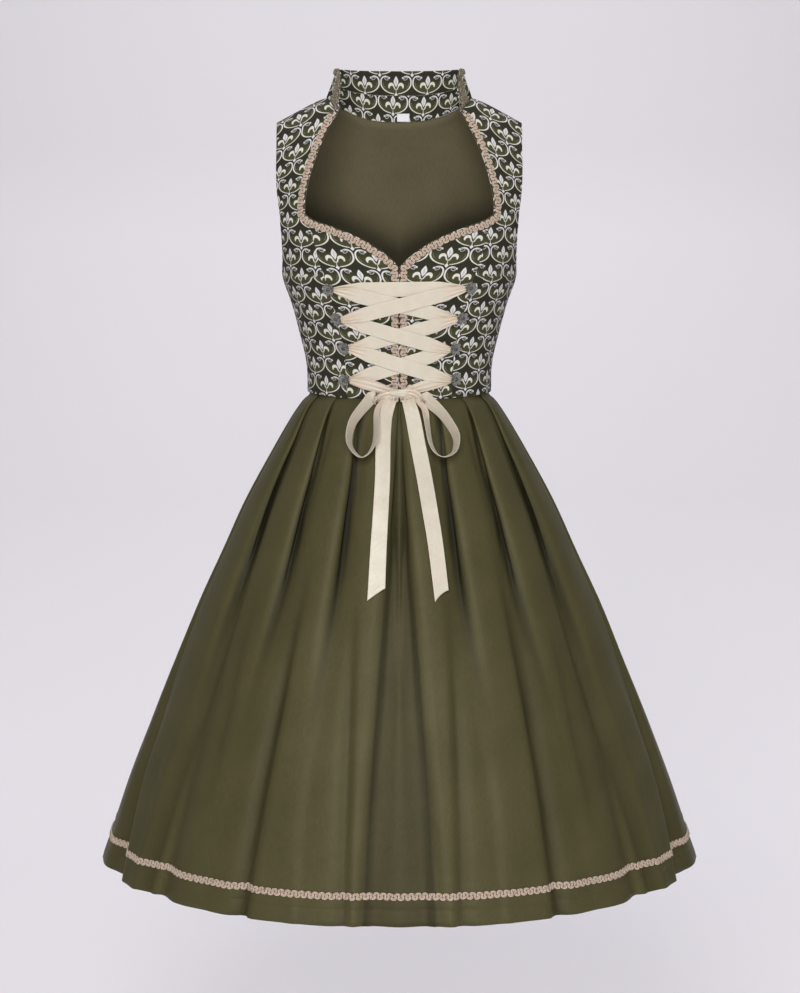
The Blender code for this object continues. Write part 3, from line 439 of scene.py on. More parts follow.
def front_centre_places(side, rows, columns):
    """Centre front to princess seam, waist to heart-shaped edge."""
    across = np.linspace(0, 1, columns + 1)
    tops = np.full(columns + 1, float(SWEETHEART[0][1]))
    for _ in range(12):
        tops = smooth(SWEETHEART, across * smooth(PRINCESS, tops)[0])[0]
    height = np.linspace(0, 1, rows + 1)[:, None] * tops
    x = across * smooth(PRINCESS, height)[0]
    level, turn = locate(x, height)
    return level, side * turn


def strap_edge(share):
    """Inner edge of the front side panel: princess seam, strap and collar seam."""
    share = np.asarray(share, float)
    rise = np.minimum(share / CORNER_SHARE, 1) * PRINCESS[-1][0]
    strap = np.clip((share - CORNER_SHARE) / (COLLAR_SHARE - CORNER_SHARE), 0, 1)
    strap_height = mix(STRAP[0][0], STRAP[-1][0], strap)
    on_seam = share <= CORNER_SHARE
    height = np.where(on_seam, rise, strap_height)
    x = np.where(on_seam, smooth(PRINCESS, rise)[0], smooth(STRAP, strap_height)[0])
    level, turn = locate(x, height)
    t = np.clip((share - COLLAR_SHARE) / (1 - COLLAR_SHARE), 0, 1)
    return mix(level, SHOULDER_LEVEL, t), mix(turn, shoulder_turn(NECK_HALF), t)


def armhole_edge(share, front):
    """Side seam and armhole edge, share 0 at the waist to 1 at the shoulder tip."""
    share = np.asarray(share, float)
    seam_level, _ = locate(0 * share, UNDERARM * np.minimum(share / UNDERARM_SHARE, 1))
    up = np.clip((share - UNDERARM_SHARE) / (1 - UNDERARM_SHARE), 0, 1)
    height = mix(UNDERARM, ARMHOLE[-1][0], up ** 1.6)
    level, turn = locate(smooth(ARMHOLE, height)[0], height, front)
    on_seam = share <= UNDERARM_SHARE
    level, turn = np.where(on_seam, seam_level, level), np.where(on_seam, 90.0, turn)
    tip = shoulder_turn(SHOULDER_HALF)
    at_tip = share >= 1
    return np.where(at_tip, SHOULDER_LEVEL, level), np.where(at_tip, tip if front else 180 - tip, turn)


def front_side_places(side, rows, columns):
    """Princess seam to side seam, waist to shoulder seam."""
    corner_rows, strap_rows, top_rows = rows
    share = spread(((0, CORNER_SHARE, corner_rows), (CORNER_SHARE, COLLAR_SHARE, strap_rows),
                    (COLLAR_SHARE, 1, top_rows)))
    inner, outer = strap_edge(share), armhole_edge(share, True)
    across = np.linspace(0, 1, columns + 1)
    level = mix(inner[0][:, None], outer[0][:, None], across)
    turn = mix(inner[1][:, None], outer[1][:, None], across)
    return level, side * turn


def back_neck_place(column):
    """Level and turn of the back's neck edge, column 0 at the centre back."""
    share = np.asarray(column, float) / BACK_NECK_COLUMNS
    x = NECK_HALF * np.sin(np.radians(90 * share))
    height = BACK_NECK_HEIGHT + (NECK_HEIGHT - BACK_NECK_HEIGHT) * (x / NECK_HALF) ** 2.6
    level, turn = locate(x, height, False)
    at_point = share >= 1
    return np.where(at_point, SHOULDER_LEVEL, level), np.where(at_point, 180 - shoulder_turn(NECK_HALF), turn)


def back_places(rows, finer):
    """Side seam to side seam over the back, waist to shoulder seams and neck edge."""
    tip_turn = shoulder_turn(SHOULDER_HALF)
    share = spread(((0, 0.6, rows[0]), (0.6, 1, rows[1])))[:, None]
    edge_level, edge_turn = armhole_edge(share, False)
    column = np.arange(BACK_COLUMNS * finer + 1) / finer
    across = column / BACK_COLUMNS
    neck_level, neck_turn = back_neck_place(np.minimum(column, BACK_NECK_COLUMNS))
    past_neck = column > BACK_NECK_COLUMNS
    top_level = np.where(past_neck, SHOULDER_LEVEL, neck_level)
    top_turn = np.where(past_neck, 180 - across * tip_turn, neck_turn)
    level = edge_level * top_level / SHOULDER_LEVEL
    turn = 180 - across * (180 - edge_turn)
    turn = turn + share ** 3 * (top_turn - (180 - across * tip_turn))
    level = np.concatenate([level[:, :0:-1], level], 1)
    turn = np.concatenate([-turn[:, :0:-1], turn], 1)
    return level, turn


# ------------ neck edge and collar

def neck_edge(place):
    """Neck edge from the left front end (0) over the back (1) to the right front end (2)."""
    place = np.asarray(place, float)
    t = np.where(place < 1, place, 2 - place)
    strap = form_place(*strap_edge(mix(COLLAR_SHARE, 1, np.clip(t / SHOULDER_PLACE, 0, 1))))
    back = form_place(*back_neck_place(BACK_NECK_COLUMNS * (1 - t) / (1 - SHOULDER_PLACE)))
    point = np.where((t < SHOULDER_PLACE)[..., None], strap, back)
    point[..., 0] *= np.where(place < 1, -1, 1)
    return point


def collar_corner(place):
    """Share of the collar's height that its top edge reaches, rounded down at the front corners."""
    from_end = np.clip(np.minimum(place, 2 - place) / CORNER_LENGTH, 0, 1)
    return 1 - CORNER_DROP * (1 - np.sqrt(1 - (1 - from_end) ** 2))


def collar_middle(place, share):
    place = np.clip(place, 0.0, 2.0)
    side = np.where(place < 1, -1, 1)
    x, y, height = smooth(COLLAR_TOP, np.where(place < 1, place, 2 - place))
    low = neck_edge(place)
    inward = unit(low * (-1, -1, 0))
    low = low + inward * 0.5 + (0, 0, 0.6)
    return mix(low, np.stack([side * x, y, height], -1), np.asarray(share)[..., None])


def collar_point(place, share, out):
    """Points of the collar: place along it, share 0 at the neck seam to 1 at the top edge."""
    place, share, out = np.broadcast_arrays(np.asarray(place, float), share, out)
    point = collar_middle(place, share)
    along = collar_middle(place + 0.02, share) - collar_middle(place - 0.02, share)
    rising = collar_middle(place, share * 0 + 1) - collar_middle(place, share * 0)
    return point + unit(np.cross(rising, along)) * out[..., None]


# ------------ the printed cloth's own lines

LEVEL_STEPS, TURN_STEPS = 130, 360
LEVELS = np.linspace(0, SHOULDER_LEVEL, LEVEL_STEPS + 1)
TURNS = np.linspace(0, 180, TURN_STEPS + 1)
ROUND = arc(form_place(LEVELS[:, None], TURNS), 1)
# distances up the cloth, along one line of the front and one of the back
UP_FRONT = arc(form_place(LEVELS, np.full(LEVELS.shape, 42.0)), 0)
UP_BACK = arc(form_place(LEVELS, np.full(LEVELS.shape, 150.0)), 0)


def distance_round(level, turn):
    """Millimetres round the body from the centre front."""
    row = np.clip(level / SHOULDER_LEVEL * LEVEL_STEPS, 0, LEVEL_STEPS - 0.001)
    column = np.clip(np.abs(turn) / 180 * TURN_STEPS, 0, TURN_STEPS - 0.001)
    r, c = row.astype(int), column.astype(int)
    lower = mix(ROUND[r, c], ROUND[r, c + 1], column - c)
    upper = mix(ROUND[r + 1, c], ROUND[r + 1, c + 1], column - c)
    return np.sign(turn) * mix(lower, upper, row - r)


def pinned(across, up, level, turn, x, height, repeat):
    """Cloth coordinates in repeats of the print, with a motif's middle at one x and height."""
    pin_level, pin_turn = locate(x, height)
    nearest = np.argmin((level - pin_level) ** 2 * 900 + (turn - pin_turn) ** 2)
    across = across - across.ravel()[nearest]
    up = up - up.ravel()[nearest] + LILY_RISE
    return np.stack([across, up], -1) * (PRINT_REPEAT / repeat)


# ------------ making meshes

def grid_quads(rows, columns, ring=False):
    """Quads of a grid of points; a ring joins its last column to its first."""
    row = np.arange(rows - 1)[:, None] * columns
    column = np.arange(columns if ring else columns - 1)
    after = (column + 1) % columns
    return np.stack([row + column, row + after, row + columns + after,
                     row + columns + column], -1).reshape(-1, 4)


def border(rows, columns):
    """Indices round the edge of a grid of points."""
    return np.concatenate([np.arange(columns), np.arange(2, rows + 1) * columns - 1,
                           (rows - 1) * columns + np.arange(columns - 2, -1, -1),
                           np.arange(rows - 2, 0, -1) * columns])


def new_piece(name, points, faces, finishes, fabric=None, finish_of_face=None, shade=None):
    """A smooth mesh object from points in millimetres, which rides on the dress."""
    mesh = bpy.data.meshes.new(name)
    mesh.from_pydata(to_metres(points).tolist(), [], [tuple(face) for face in faces])
    for finish in finishes:
        mesh.materials.append(finish)
    if finish_of_face is not None:
        mesh.polygons.foreach_set("material_index", finish_of_face)
    if fabric is not None:
        layer = mesh.uv_layers.new(name="cloth")
        corners = np.zeros(len(mesh.loops), int)
        mesh.loops.foreach_get("vertex_index", corners)
        layer.data.foreach_set("uv", (fabric[corners] * MM).ravel())
    if shade is not None:
        mesh.attributes.new("shade", "FLOAT", "POINT").data.foreach_set("value", shade)
    mesh.shade_smooth()
    mesh.update()
    piece = bpy.data.objects.new(name, mesh)
    bpy.context.scene.collection.objects.link(piece)
    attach(piece, "root")
    return piece


def cloth(name, outer, inner, fabric, finishes, inner_fabric=None, shade=None):
    """A closed wall between two grids of points, with a rounded edge."""
    rows, columns = outer.shape[:2]
    count = rows * columns
    quads = grid_quads(rows, columns)
    away = np.zeros_like(outer)
    away[0] += unit(outer[0] - outer[1])
    away[-1] += unit(outer[-1] - outer[-2])
    away[:, 0] += unit(outer[:, 0] - outer[:, 1])
    away[:, -1] += unit(outer[:, -1] - outer[:, -2])
    edge = border(rows, columns)
    flat_outer, flat_inner = outer.reshape(-1, 3), inner.reshape(-1, 3)
    wall = np.linalg.norm(flat_outer[edge] - flat_inner[edge], axis=1)[:, None]
    bulge = (flat_outer[edge] + flat_inner[edge]) / 2 + unit(away.reshape(-1, 3)[edge]) * wall * 0.4
    turn = 2 * count + np.arange(len(edge))
    after, turn_after = np.roll(edge, -1), np.roll(turn, -1)
    faces = np.concatenate([quads, np.stack([after, edge, turn, turn_after], -1),
                            np.stack([turn_after, turn, edge + count, after + count], -1),
                            quads[:, ::-1] + count])
    finish_of_face = np.zeros(len(faces), int)
    finish_of_face[len(quads):] = len(finishes) - 1
    middle = rows // 2, columns // 2
    a, b, d = outer[middle], outer[middle[0], middle[1] - 1], outer[middle[0] - 1, middle[1]]
    if np.dot(np.cross(a - b, a - d), a - inner[middle]) < 0:
        faces = faces[:, ::-1]
    points = np.concatenate([flat_outer, flat_inner, bulge])
    fabric = np.asarray(fabric, float).reshape(-1, 2)
    within = fabric if inner_fabric is None else np.asarray(inner_fabric, float).reshape(-1, 2)
    fabric = np.concatenate([fabric, within, fabric[edge]])
    if shade is not None:
        shade = np.concatenate([shade.ravel(), shade.ravel(), shade.ravel()[edge]])
    return new_piece(name, points, faces, finishes, fabric, finish_of_face, shade)


def plain_fabric(grid):
    """Cloth coordinates of a grid straight from its own lengths."""
    return np.stack([arc(grid, 1), arc(grid, 0)], -1)


def sewn(distance, along, seed):
    """How far cloth sinks at a seam and puckers beside it."""
    groove = -0.75 * bell(distance, 0.9)
    return groove + 0.5 * np.exp(-distance / 8) * ripple(seed, along, 5, 17, 5) * (distance > 0.2)


def toward_edges(count, both=True):
    """Shares 0 to 1 that stand closer together beside the seams."""
    close = np.array([0, 0.006, 0.014, 0.028, 0.05, 0.08])
    inner = np.linspace(0.08, 0.92 if both else 1, count)
    end = 1 - close[-2::-1] if both else np.array([])
    return np.concatenate([close[:-1], inner, end])


# ------------ braid

def braid(name, low, high, normal, nodes, finish, lift=0.0, size=1.0):
    """A three-cord braid that winds from side to side of a band between two rails, on a narrow tape."""
    period, swing = BRAID_PERIOD, BRAID_SWING
    middle = (low + high) / 2
    run = arc(middle, 0)
    period = run[-1] / round(run[-1] / period)
    stations = int(run[-1] / period * BRAID_STATIONS)
    t = np.linspace(period * 0.12, run[-1] - period * 0.12, stations)
    lean = 1.7 * period / (4 * math.pi)
    along = t - lean * np.sin(4 * math.pi * t / period)
    across = swing * np.sin(math.tau * t / period)
    heading = unit(np.stack([np.gradient(along), np.gradient(across)], -1))
    offset, height = np.array(BRAID_PROFILE).T
    run_at = along[:, None] - heading[:, 1:] * offset
    side_at = across[:, None] + heading[:, :1] * offset
    share = side_at / BRAID_WIDTH + 0.5

    def at(values, place):
        return np.stack([np.interp(place, run, values[:, i]) for i in range(3)], -1)

    def above(place, share, rise):
        share = 0.5 + (share - 0.5) * size
        return mix(at(low, place), at(high, place), share[..., None]) + at(normal, place) * rise[..., None]
    points = above(run_at, share, height + lift + 0 * share)
    columns = len(offset)
    faces = [tuple(quad) for quad in grid_quads(stations, columns, ring=True)]
    faces += [tuple(range(columns))[::-1], tuple(range((stations - 1) * columns, stations * columns))]
    way = arc(points[:, columns // 2], 0)
    fabric = np.stack([np.broadcast_to(way[:, None], run_at.shape),
                       np.broadcast_to(offset, run_at.shape)], -1).reshape(-1, 2)
    a, b, c = points[0, 2], points[1, 2], points[0, 3]
    if np.dot(np.cross(c - a, b - a), normal[0]) < 0:
        faces = [face[::-1] for face in faces]
    # the tape behind the cords is dark, partly a backing and partly painted shade in the gaps between them
    tape_offset, tape_height = np.array(BRAID_TAPE).T
    tape_run = np.linspace(0, run[-1], stations // 4)[:, None] + 0 * tape_offset
    tape = above(tape_run, tape_offset / BRAID_WIDTH + 0.5 + 0 * tape_run, tape_height + lift + 0 * tape_run)
    start, width = stations * columns, len(tape_offset)
    ends = [tuple(range(width)), tuple(range((len(tape) - 1) * width, len(tape) * width))[::-1]]
    tape_faces = [tuple(quad[::-1]) for quad in grid_quads(len(tape), width, ring=True)] + ends
    a, b, c = tape[0, 1], tape[1, 1], tape[0, 2]
    if np.dot(np.cross(c - a, b - a), normal[0]) > 0:
        tape_faces = [face[::-1] for face in tape_faces]
    cords = len(faces)
    faces += [tuple(int(i) + start for i in face) for face in tape_faces]
    points = np.concatenate([points.reshape(-1, 3), tape.reshape(-1, 3)])
    fabric = np.concatenate([fabric, np.stack([tape_run, tape_offset + 0 * tape_run], -1).reshape(-1, 2)])
    finish_of_face = np.repeat([0, 1], [cords, len(tape_faces)])
    piece = new_piece(name, points, faces, [finish, finish_of("braid_tape", braid_tape)], fabric,
                      finish_of_face)
    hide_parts(*nodes)
    return piece


# ------------ skirt

def skirt_squareness(drop):
    return 2 + 0.2 * (1 - ease(drop / 120))


def ring_place(turn, drop):
    """Points of the outermost ring of the skirt, at the middle of its cloth."""
    half_width, front, back = smooth(SKIRT, np.maximum(drop, 0.0))
    power = 2 / skirt_squareness(drop)
    across, along = np.sin(np.radians(turn)), np.cos(np.radians(turn))
    x = (half_width - SKIRT_WALL / 2) * np.sign(across) * np.abs(across) ** power
    depth = np.where(along > 0, front, back) - SKIRT_WALL / 2
    return np.stack([x, -depth * np.sign(along) * np.abs(along) ** power], -1)


def ring_point(turn, drop, depth=0.0, shift=0.0):
    """Points `depth` inside the ring and `shift` millimetres further along it."""
    degree = ring_place(turn + 0.5, drop) - ring_place(turn - 0.5, drop)
    turn = turn + shift / np.maximum(np.linalg.norm(degree, axis=-1), 0.1)
    along = unit(ring_place(turn + 0.5, drop) - ring_place(turn - 0.5, drop))
    inward = np.stack([-along[..., 1], along[..., 0]], -1)
    return ring_place(turn, drop) + inward * np.asarray(depth)[..., None]


def fold_turn(pleat, drop):
    share = np.clip(drop / SKIRT_LENGTH, 0, 1)
    return mix(pleat[0], pleat[1], share) + pleat[5] * np.sin(math.pi * share)


def wave_depth(pleat, drop):
    left = mix(1, pleat[6], between(drop, WAVE_FADES))
    return pleat[3] * np.clip(drop / SKIRT_LENGTH, 0, 1) ** 0.35 * left


def layer_step(drop):
    return LAYER * (1 + np.maximum(drop, 0) / LAYERS_DOUBLE)


def fold_points(pleat, drop):
    """Hidden turn and fold edge of a pleat: underlap, its turn back, and both sides of the edge."""
    opened = ease(drop / pleat[2])
    depth, turn, lap = wave_depth(pleat, drop), fold_turn(pleat, drop), pleat[4]
    if lap > 0:
        below = ((-9, 0), (-3, 0.02), (2, 0.3), (lap, 0.75))
        opened = 1.0
    else:
        to_centre = np.linalg.norm(ring_place(turn, drop) - ring_place(0, drop), axis=-1)
        lap = np.maximum(lap, -0.75 * to_centre)
        below = ((lap, 0.95), (lap * 0.6, 1.0), (lap * 0.2, 0.45), (-lap * 0.4, 0))
    at_waist = ((UNDERLAP, 2), (UNDERLAP, 1), (0, 1), (0, 0))
    return [ring_point(turn, drop, mix(layers * layer_step(drop), depth * share, opened),
                       mix(shift, shift_below, opened))
            for (shift, layers), (shift_below, share) in zip(at_waist, below)]


def panel_points(pleat, following, drop):
    """The visible cloth of a pleat, which slopes in under the next fold edge."""
    opened = ease(drop / following[2])
    depth = wave_depth(following, drop)
    start, end = fold_turn(pleat, drop), fold_turn(following, drop)
    width = np.linalg.norm(ring_place(start, drop) - ring_place(end, drop), axis=-1)
    stepped = following[4] > 0
    flat, tucked = (UNDERLAP + 2) / width, 0.7 + 0 * width if stepped else 1 - 2.5 / width
    falls = STEP_FALLS + 0 * width if stepped else np.maximum(1 + WAVE_REACH * following[4] / width, 0.5)
    places = ((flat, 0.0, 0.3 * falls / STEP_FALLS, 0.0), ((flat + tucked) / 2, 0.5, 0.72 * falls, 0.12),
              (tucked, 1.0, falls, 0.5))
    return [ring_point(mix(start, end, mix(at_waist, at_hem, opened)), drop,
                       mix(2 * layer_step(drop) * deep_waist, depth * deep_hem, opened) * (not stepped))
            for at_waist, deep_waist, at_hem, deep_hem in places]


def skirt_line(drop, front):
    """Middle line of the skirt front or back from left seam to right seam, one row per drop."""
    hollow = PLEATS[0][3] * (1 - CENTRE_FILL * between(drop, CENTRE_FILLS))
    depth = mix(2 * layer_step(drop), hollow, ease(drop / PLEATS[0][2]))
    points = [ring_point(0, drop, depth)] + fold_points(PLEATS[0], drop)
    for i, pleat in enumerate(PLEATS[:-1]):
        if i == SEAM_PLEAT:
            seam_at = len(points) + 1
        points += panel_points(pleat, PLEATS[i + 1], drop) + fold_points(PLEATS[i + 1], drop)
    last = fold_turn(PLEATS[-1], drop)
    points += [ring_point(mix(last, 180, share), drop) for share in (0.5, 1)]
    line = np.stack(points, 1)
    half = line[:, :seam_at + 1] if front else line[:, seam_at:][:, ::-1]
    return np.concatenate([half[:, :0:-1] * (-1, 1), half], 1)


def rounded(line, steps):
    """More points on smooth curves through the points of each row."""
    padded = np.concatenate([2 * line[:, :1] - line[:, 1:2], line, 2 * line[:, -1:] - line[:, -2:-1]], 1)
    columns = []
    for i, count in enumerate(steps):
        a, b, c, d = (padded[:, i + k] for k in range(4))
        ab, bc, cd = (np.maximum(np.linalg.norm(q - p, axis=-1), 0.01)[:, None] ** 0.5
                      for p, q in ((a, b), (b, c), (c, d)))
        slope_b = ((b - a) / ab - (c - a) / (ab + bc) + (c - b) / bc) * bc
        slope_c = ((c - b) / bc - (d - b) / (bc + cd) + (d - c) / cd) * bc
        columns += [bend(b, c, slope_b, slope_c, step / count) for step in range(count)]
    columns.append(line[:, -1])
    return np.stack(columns, 1)


def moved_out(line, distance, front):
    """Each row moved outwards, with mitred corners."""
    step = unit(np.diff(line, axis=1))
    before = np.concatenate([step[:, :1], step], 1)
    after = np.concatenate([step, step[:, -1:]], 1)
    heading = unit(before + after)
    mitre = 1 / np.maximum((heading * after).sum(-1), MITRE_LIMIT)
    out = np.stack([heading[..., 1], -heading[..., 0]], -1) * (1 if front else -1)
    return line + out * (distance * mitre)[..., None]


def hung(line, drop):
    """The skirt's points at their heights, which are lower towards the centre front."""
    low = FRONT_DIP * (np.maximum(drop, 0) / SKIRT_LENGTH) ** 3
    height = -drop[:, None] - low[:, None] * ease(-line[..., 1] / SKIRT[-1][2])
    return np.concatenate([line, height[..., None]], -1)


def turns_of(line, drop):
    """Turn of each point of the rows, and the skirt's half width there."""
    half_width, front, back = smooth(SKIRT, np.maximum(drop, 0.0))[:, :, None]
    x, y = line[..., 0], line[..., 1]
    return np.degrees(np.arctan2(x / half_width, -y / np.where(y < 0, front, back))), half_width


def crease_shapes(turn, half_width, drop):
    """Height of each crease and its share of it at each point, wider on its side towards the back."""
    for top_turn, top, low_turn, low, width, amount in CREASES:
        t = (drop - top) / (low - top)
        reach = ease(np.minimum(t, 1 - t) * 3)
        middle = mix(top_turn, low_turn, t) + 0.5 * np.sin(t * 5 + top_turn)
        gap = (turn - middle) * half_width / RADIAN * np.sign(top_turn)
        width = np.where(gap < 0, width * CREASE_SIDES[0], width * CREASE_SIDES[1])
        yield amount, reach * bell(gap, width)


def crease_depth(line, drop):
    """How far the soft creases and the puckers at the waist move each point outwards."""
    turn, half_width = turns_of(line, drop)
    drop = drop[:, None]
    depth = sum(amount * share for amount, share in crease_shapes(turn, half_width, drop))
    for i, pleat in enumerate(PLEATS):
        if i == SEAM_PLEAT:
            continue
        amount = VALLEY_DEPTH * between(drop, VALLEY_GROWS) * (1 - VALLEY_FADE * between(drop, VALLEY_FADES))
        for side in (-1, 1):
            middle = side * (fold_turn(pleat, drop) - VALLEY_SHIFT * RADIAN / half_width)
            gap = (turn - middle) * half_width / RADIAN
            reach = VALLEY_REACH[0] + VALLEY_REACH[1] * drop
            depth -= amount * (CENTRE_VALLEY if i == 0 else 1.0) * bell(gap, reach)
    run = turn * 2.3
    pucker = ripple(11, run, 5, 14, 6) * np.exp(-np.maximum(drop, 0) / 16) * ease((drop + 2) / 5)
    soft = ripple(12, run, 30, 90, 5) * ease(drop / 120) * 1.3
    slow = ripple(13, drop + turn * 1.5, 90, 260, 4) * ease(drop / 60) * 0.9
    return depth + pucker * 0.8 + soft + slow


def fold_cover(front, steps):
    """How much of the fold edges' shade each column of the skirt takes."""
    cover = [1.0, *FOLD_COVER]
    for i in range(len(PLEATS) - 1):
        if i == SEAM_PLEAT:
            seam_at = len(cover) + 1
        cover += PANEL_COVER + FOLD_COVER
    cover += [1.0, 1.0]
    half = cover[:seam_at + 1] if front else cover[seam_at:][::-1]
    places = np.concatenate([[0], np.cumsum(steps)])
    return np.interp(np.arange(places[-1] + 1), places, half[:0:-1] + half)


def centre_shadow(gap, drop):
    """Darkness that stays between the two fold edges at the centre front."""
    most, middle, to_edge, to_middle = CENTRE_SHADOW
    share = bell(gap - middle, np.where(gap < middle, to_edge, to_middle))
    lasting = most * np.where(gap < middle, share, mix(CENTRE_SHADOW_LEFT, 1.0, share))
    return lasting * between(drop, CENTRE_SHADOW_GROWS)


def skirt_shadow(line, drop, cover):
    """Darkness of each point beside the fold edges and down in the creases."""
    turn, half_width = turns_of(line, drop)
    drop = drop[:, None]
    most, grows, fades, (past, near, growth, far) = FOLD_SHADOW
    amount = most * between(drop, grows) * (1 - between(drop, fades))
    reach = np.minimum(near + growth * np.maximum(drop, 0), far)
    shadow = 0 * turn
    for i, pleat in enumerate(PLEATS):
        if i == SEAM_PLEAT:
            continue
        gap = (fold_turn(pleat, drop) - np.abs(turn)) * half_width / RADIAN
        beside = np.exp(-(gap / np.where(gap < 0, past, reach)) ** 4)
        if i == 0:
            shadow = np.maximum(centre_shadow(gap, drop), amount * beside * CENTRE_EDGE_SHADE)
        else:
            shadow = np.maximum(shadow, amount * beside)
    shadow = shadow * cover
    for height, share in crease_shapes(turn, half_width, drop):
        shadow = shadow + (1 - shadow) * max(-height, 0) * CREASE_SHADOW * share
    return shadow


def skirt_surfaces(drop, front, distances):
    """Grids of points at distances from the middle of the cloth, and the darkness of its folds."""
    line = skirt_line(drop, front)
    sample = skirt_line(np.linspace(0, SKIRT_LENGTH, 12), front)
    steps = np.clip(np.ceil(np.linalg.norm(np.diff(sample, axis=1), axis=-1).max(0) / FLAT_LENGTH), 2, 8)
    line = rounded(line, steps.astype(int))
    shadow = skirt_shadow(line, drop, fold_cover(front, steps.astype(int)))
    away = unit(line * (1, 1.35))
    line = line + away * crease_depth(line, drop)[..., None]
    return [hung(moved_out(line, np.broadcast_to(np.asarray(d, float), line.shape[:2]), front), drop)
            for d in distances], shadow


# ------------ ribbon

def dress_front(x, height):
    """The front that the ribbon lies on: bodice above the waist seam, skirt below."""
    x, height = np.broadcast_arrays(np.asarray(x, float), np.asarray(height, float))
    on_bodice = front_point(x, np.maximum(height, 0.0))
    half_width, front, _ = smooth(SKIRT, np.maximum(-height, 0.0))
    squareness = skirt_squareness(-height)
    share = np.minimum(np.abs(x) / half_width, 0.99)
    y = -front * (1 - share ** squareness) ** (1 / squareness)
    return np.where((height >= 0)[..., None], on_bodice, np.stack([x, y, height], -1))


def outward(x, height):
    across = dress_front(x + 2, height) - dress_front(x - 2, height)
    rising = dress_front(x, height + 3) - dress_front(x, height - 3)
    return unit(np.cross(across, rising))


def ribbon(name, rows, steps, node, finish, slant=0.0, notch=0.0, folds=2.5, seed=0, held="stretched",
           turning=1.0):
    """A satin ribbon along rows of x, height, lift, width and stand, gathered where it is narrow.

    `turning` is how far its lift and stand follow the turn of the body; at 0 they face straight ahead.
    """
    table = np.column_stack([np.arange(len(rows)), np.array(rows, float)])
    x, height, lift, width, stand = smooth(table, np.linspace(0, len(rows) - 1, steps + 1))
    normal = outward(x * turning, height)
    middle = dress_front(x, height) + normal * lift[:, None]
    heading = unit(np.gradient(middle, axis=0))
    flat = unit(np.cross(heading, normal))
    normal = unit(np.cross(flat, heading))
    angle = np.radians(stand)[:, None]
    across = flat * np.cos(angle) + normal * np.sin(angle)
    face = unit(np.cross(across, heading))
    face *= np.sign((face * normal).sum(-1, keepdims=True))
    reach = np.linspace(-1, 1, RIBBON_COLUMNS)
    along = arc(middle, 0)[:, None]
    slack = np.clip(1.35 * (1 - width / RIBBON_WIDTH), 0, 1)[:, None]
    uneven = 0.75 + 0.25 * np.cos(reach * 2 + seed)
    wave = slack * RIBBON_FOLD * np.cos(math.pi * folds * reach + seed) * uneven
    drift = 0.35 * ripple(seed + 20, along + reach * 6, 28, 70, 4)
    selvedge = 0.12 * bell(np.abs(reach) - 0.93, 0.035)
    end = ease((np.arange(steps + 1) / steps - 0.9) / 0.1)[:, None]
    cut = (slant * reach - notch * (1 - reach ** 2)) * end
    sheet = middle[:, None] + across[:, None] * (reach * width[:, None] / 2)[..., None]
    sheet = sheet + heading[:, None] * cut[..., None]
    thick = RIBBON_WALL / 2 + selvedge
    outer = sheet + face[:, None] * (wave + drift + thick)[..., None]
    inner = sheet + face[:, None] * (wave + drift - thick)[..., None]
    fabric = np.stack(np.broadcast_arrays(reach * RIBBON_WIDTH / 2, along), -1)
    # painted shade: the gathered ribbon takes the warm fold colour, most down in each fold
    shade = slack * ease(0.5 - wave / (slack * RIBBON_FOLD + 0.01) * 0.6) + 0 * reach
    piece = cloth(name, outer, inner, fabric, [finish], shade=shade)
    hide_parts(node)
    return piece


# ------------ finishes

class Sum:
    """A number that math nodes work out, so that a pattern can be written as a formula."""

    def __init__(self, tree, socket):
        self.tree, self.socket = tree, socket

    def node(self, operation, *others, clamp=False):
        node = self.tree.nodes.new("ShaderNodeMath")
        node.operation = operation
        node.use_clamp = clamp
        for place, value in enumerate((self,) + others):
            if isinstance(value, Sum):
                self.tree.links.new(value.socket, node.inputs[place])
            else:
                node.inputs[place].default_value = value
        return Sum(self.tree, node.outputs[0])

    def __add__(self, other):
        return self.node("ADD", other)

    def __sub__(self, other):
        return self.node("SUBTRACT", other)

    def __mul__(self, other):
        return self.node("MULTIPLY", other)

    def __truediv__(self, other):
        return self.node("DIVIDE", other)

    def __rsub__(self, other):
        return self.node("MULTIPLY", -1.0) + other

    def __pow__(self, other):
        return self.node("POWER", other)

    def __abs__(self):
        return self.node("ABSOLUTE")

    def most(self, other):
        return self.node("MAXIMUM", other)

    def least(self, other):
        return self.node("MINIMUM", other)

    def above(self, edge):
        return self.node("GREATER_THAN", edge)

    def below(self, edge):
        return self.node("LESS_THAN", edge)

    def inside(self, softness=0.5):
        """1 where a distance is negative, with a soft border."""
        return ((self * (-1 / softness)) + 0.5).node("ADD", 0.0, clamp=True)


def length(x, y):
    return (x * x + y * y) ** 0.5


def ring_distance(x, y, half_width, half_height):
    """Distance from an ellipse round the origin, negative inside it."""
    reach = length(x / half_width, y / half_height).most(0.01)
    slope = length(x / half_width ** 2, y / half_height ** 2).most(0.0001) / reach
    return (reach - 1.0) / slope


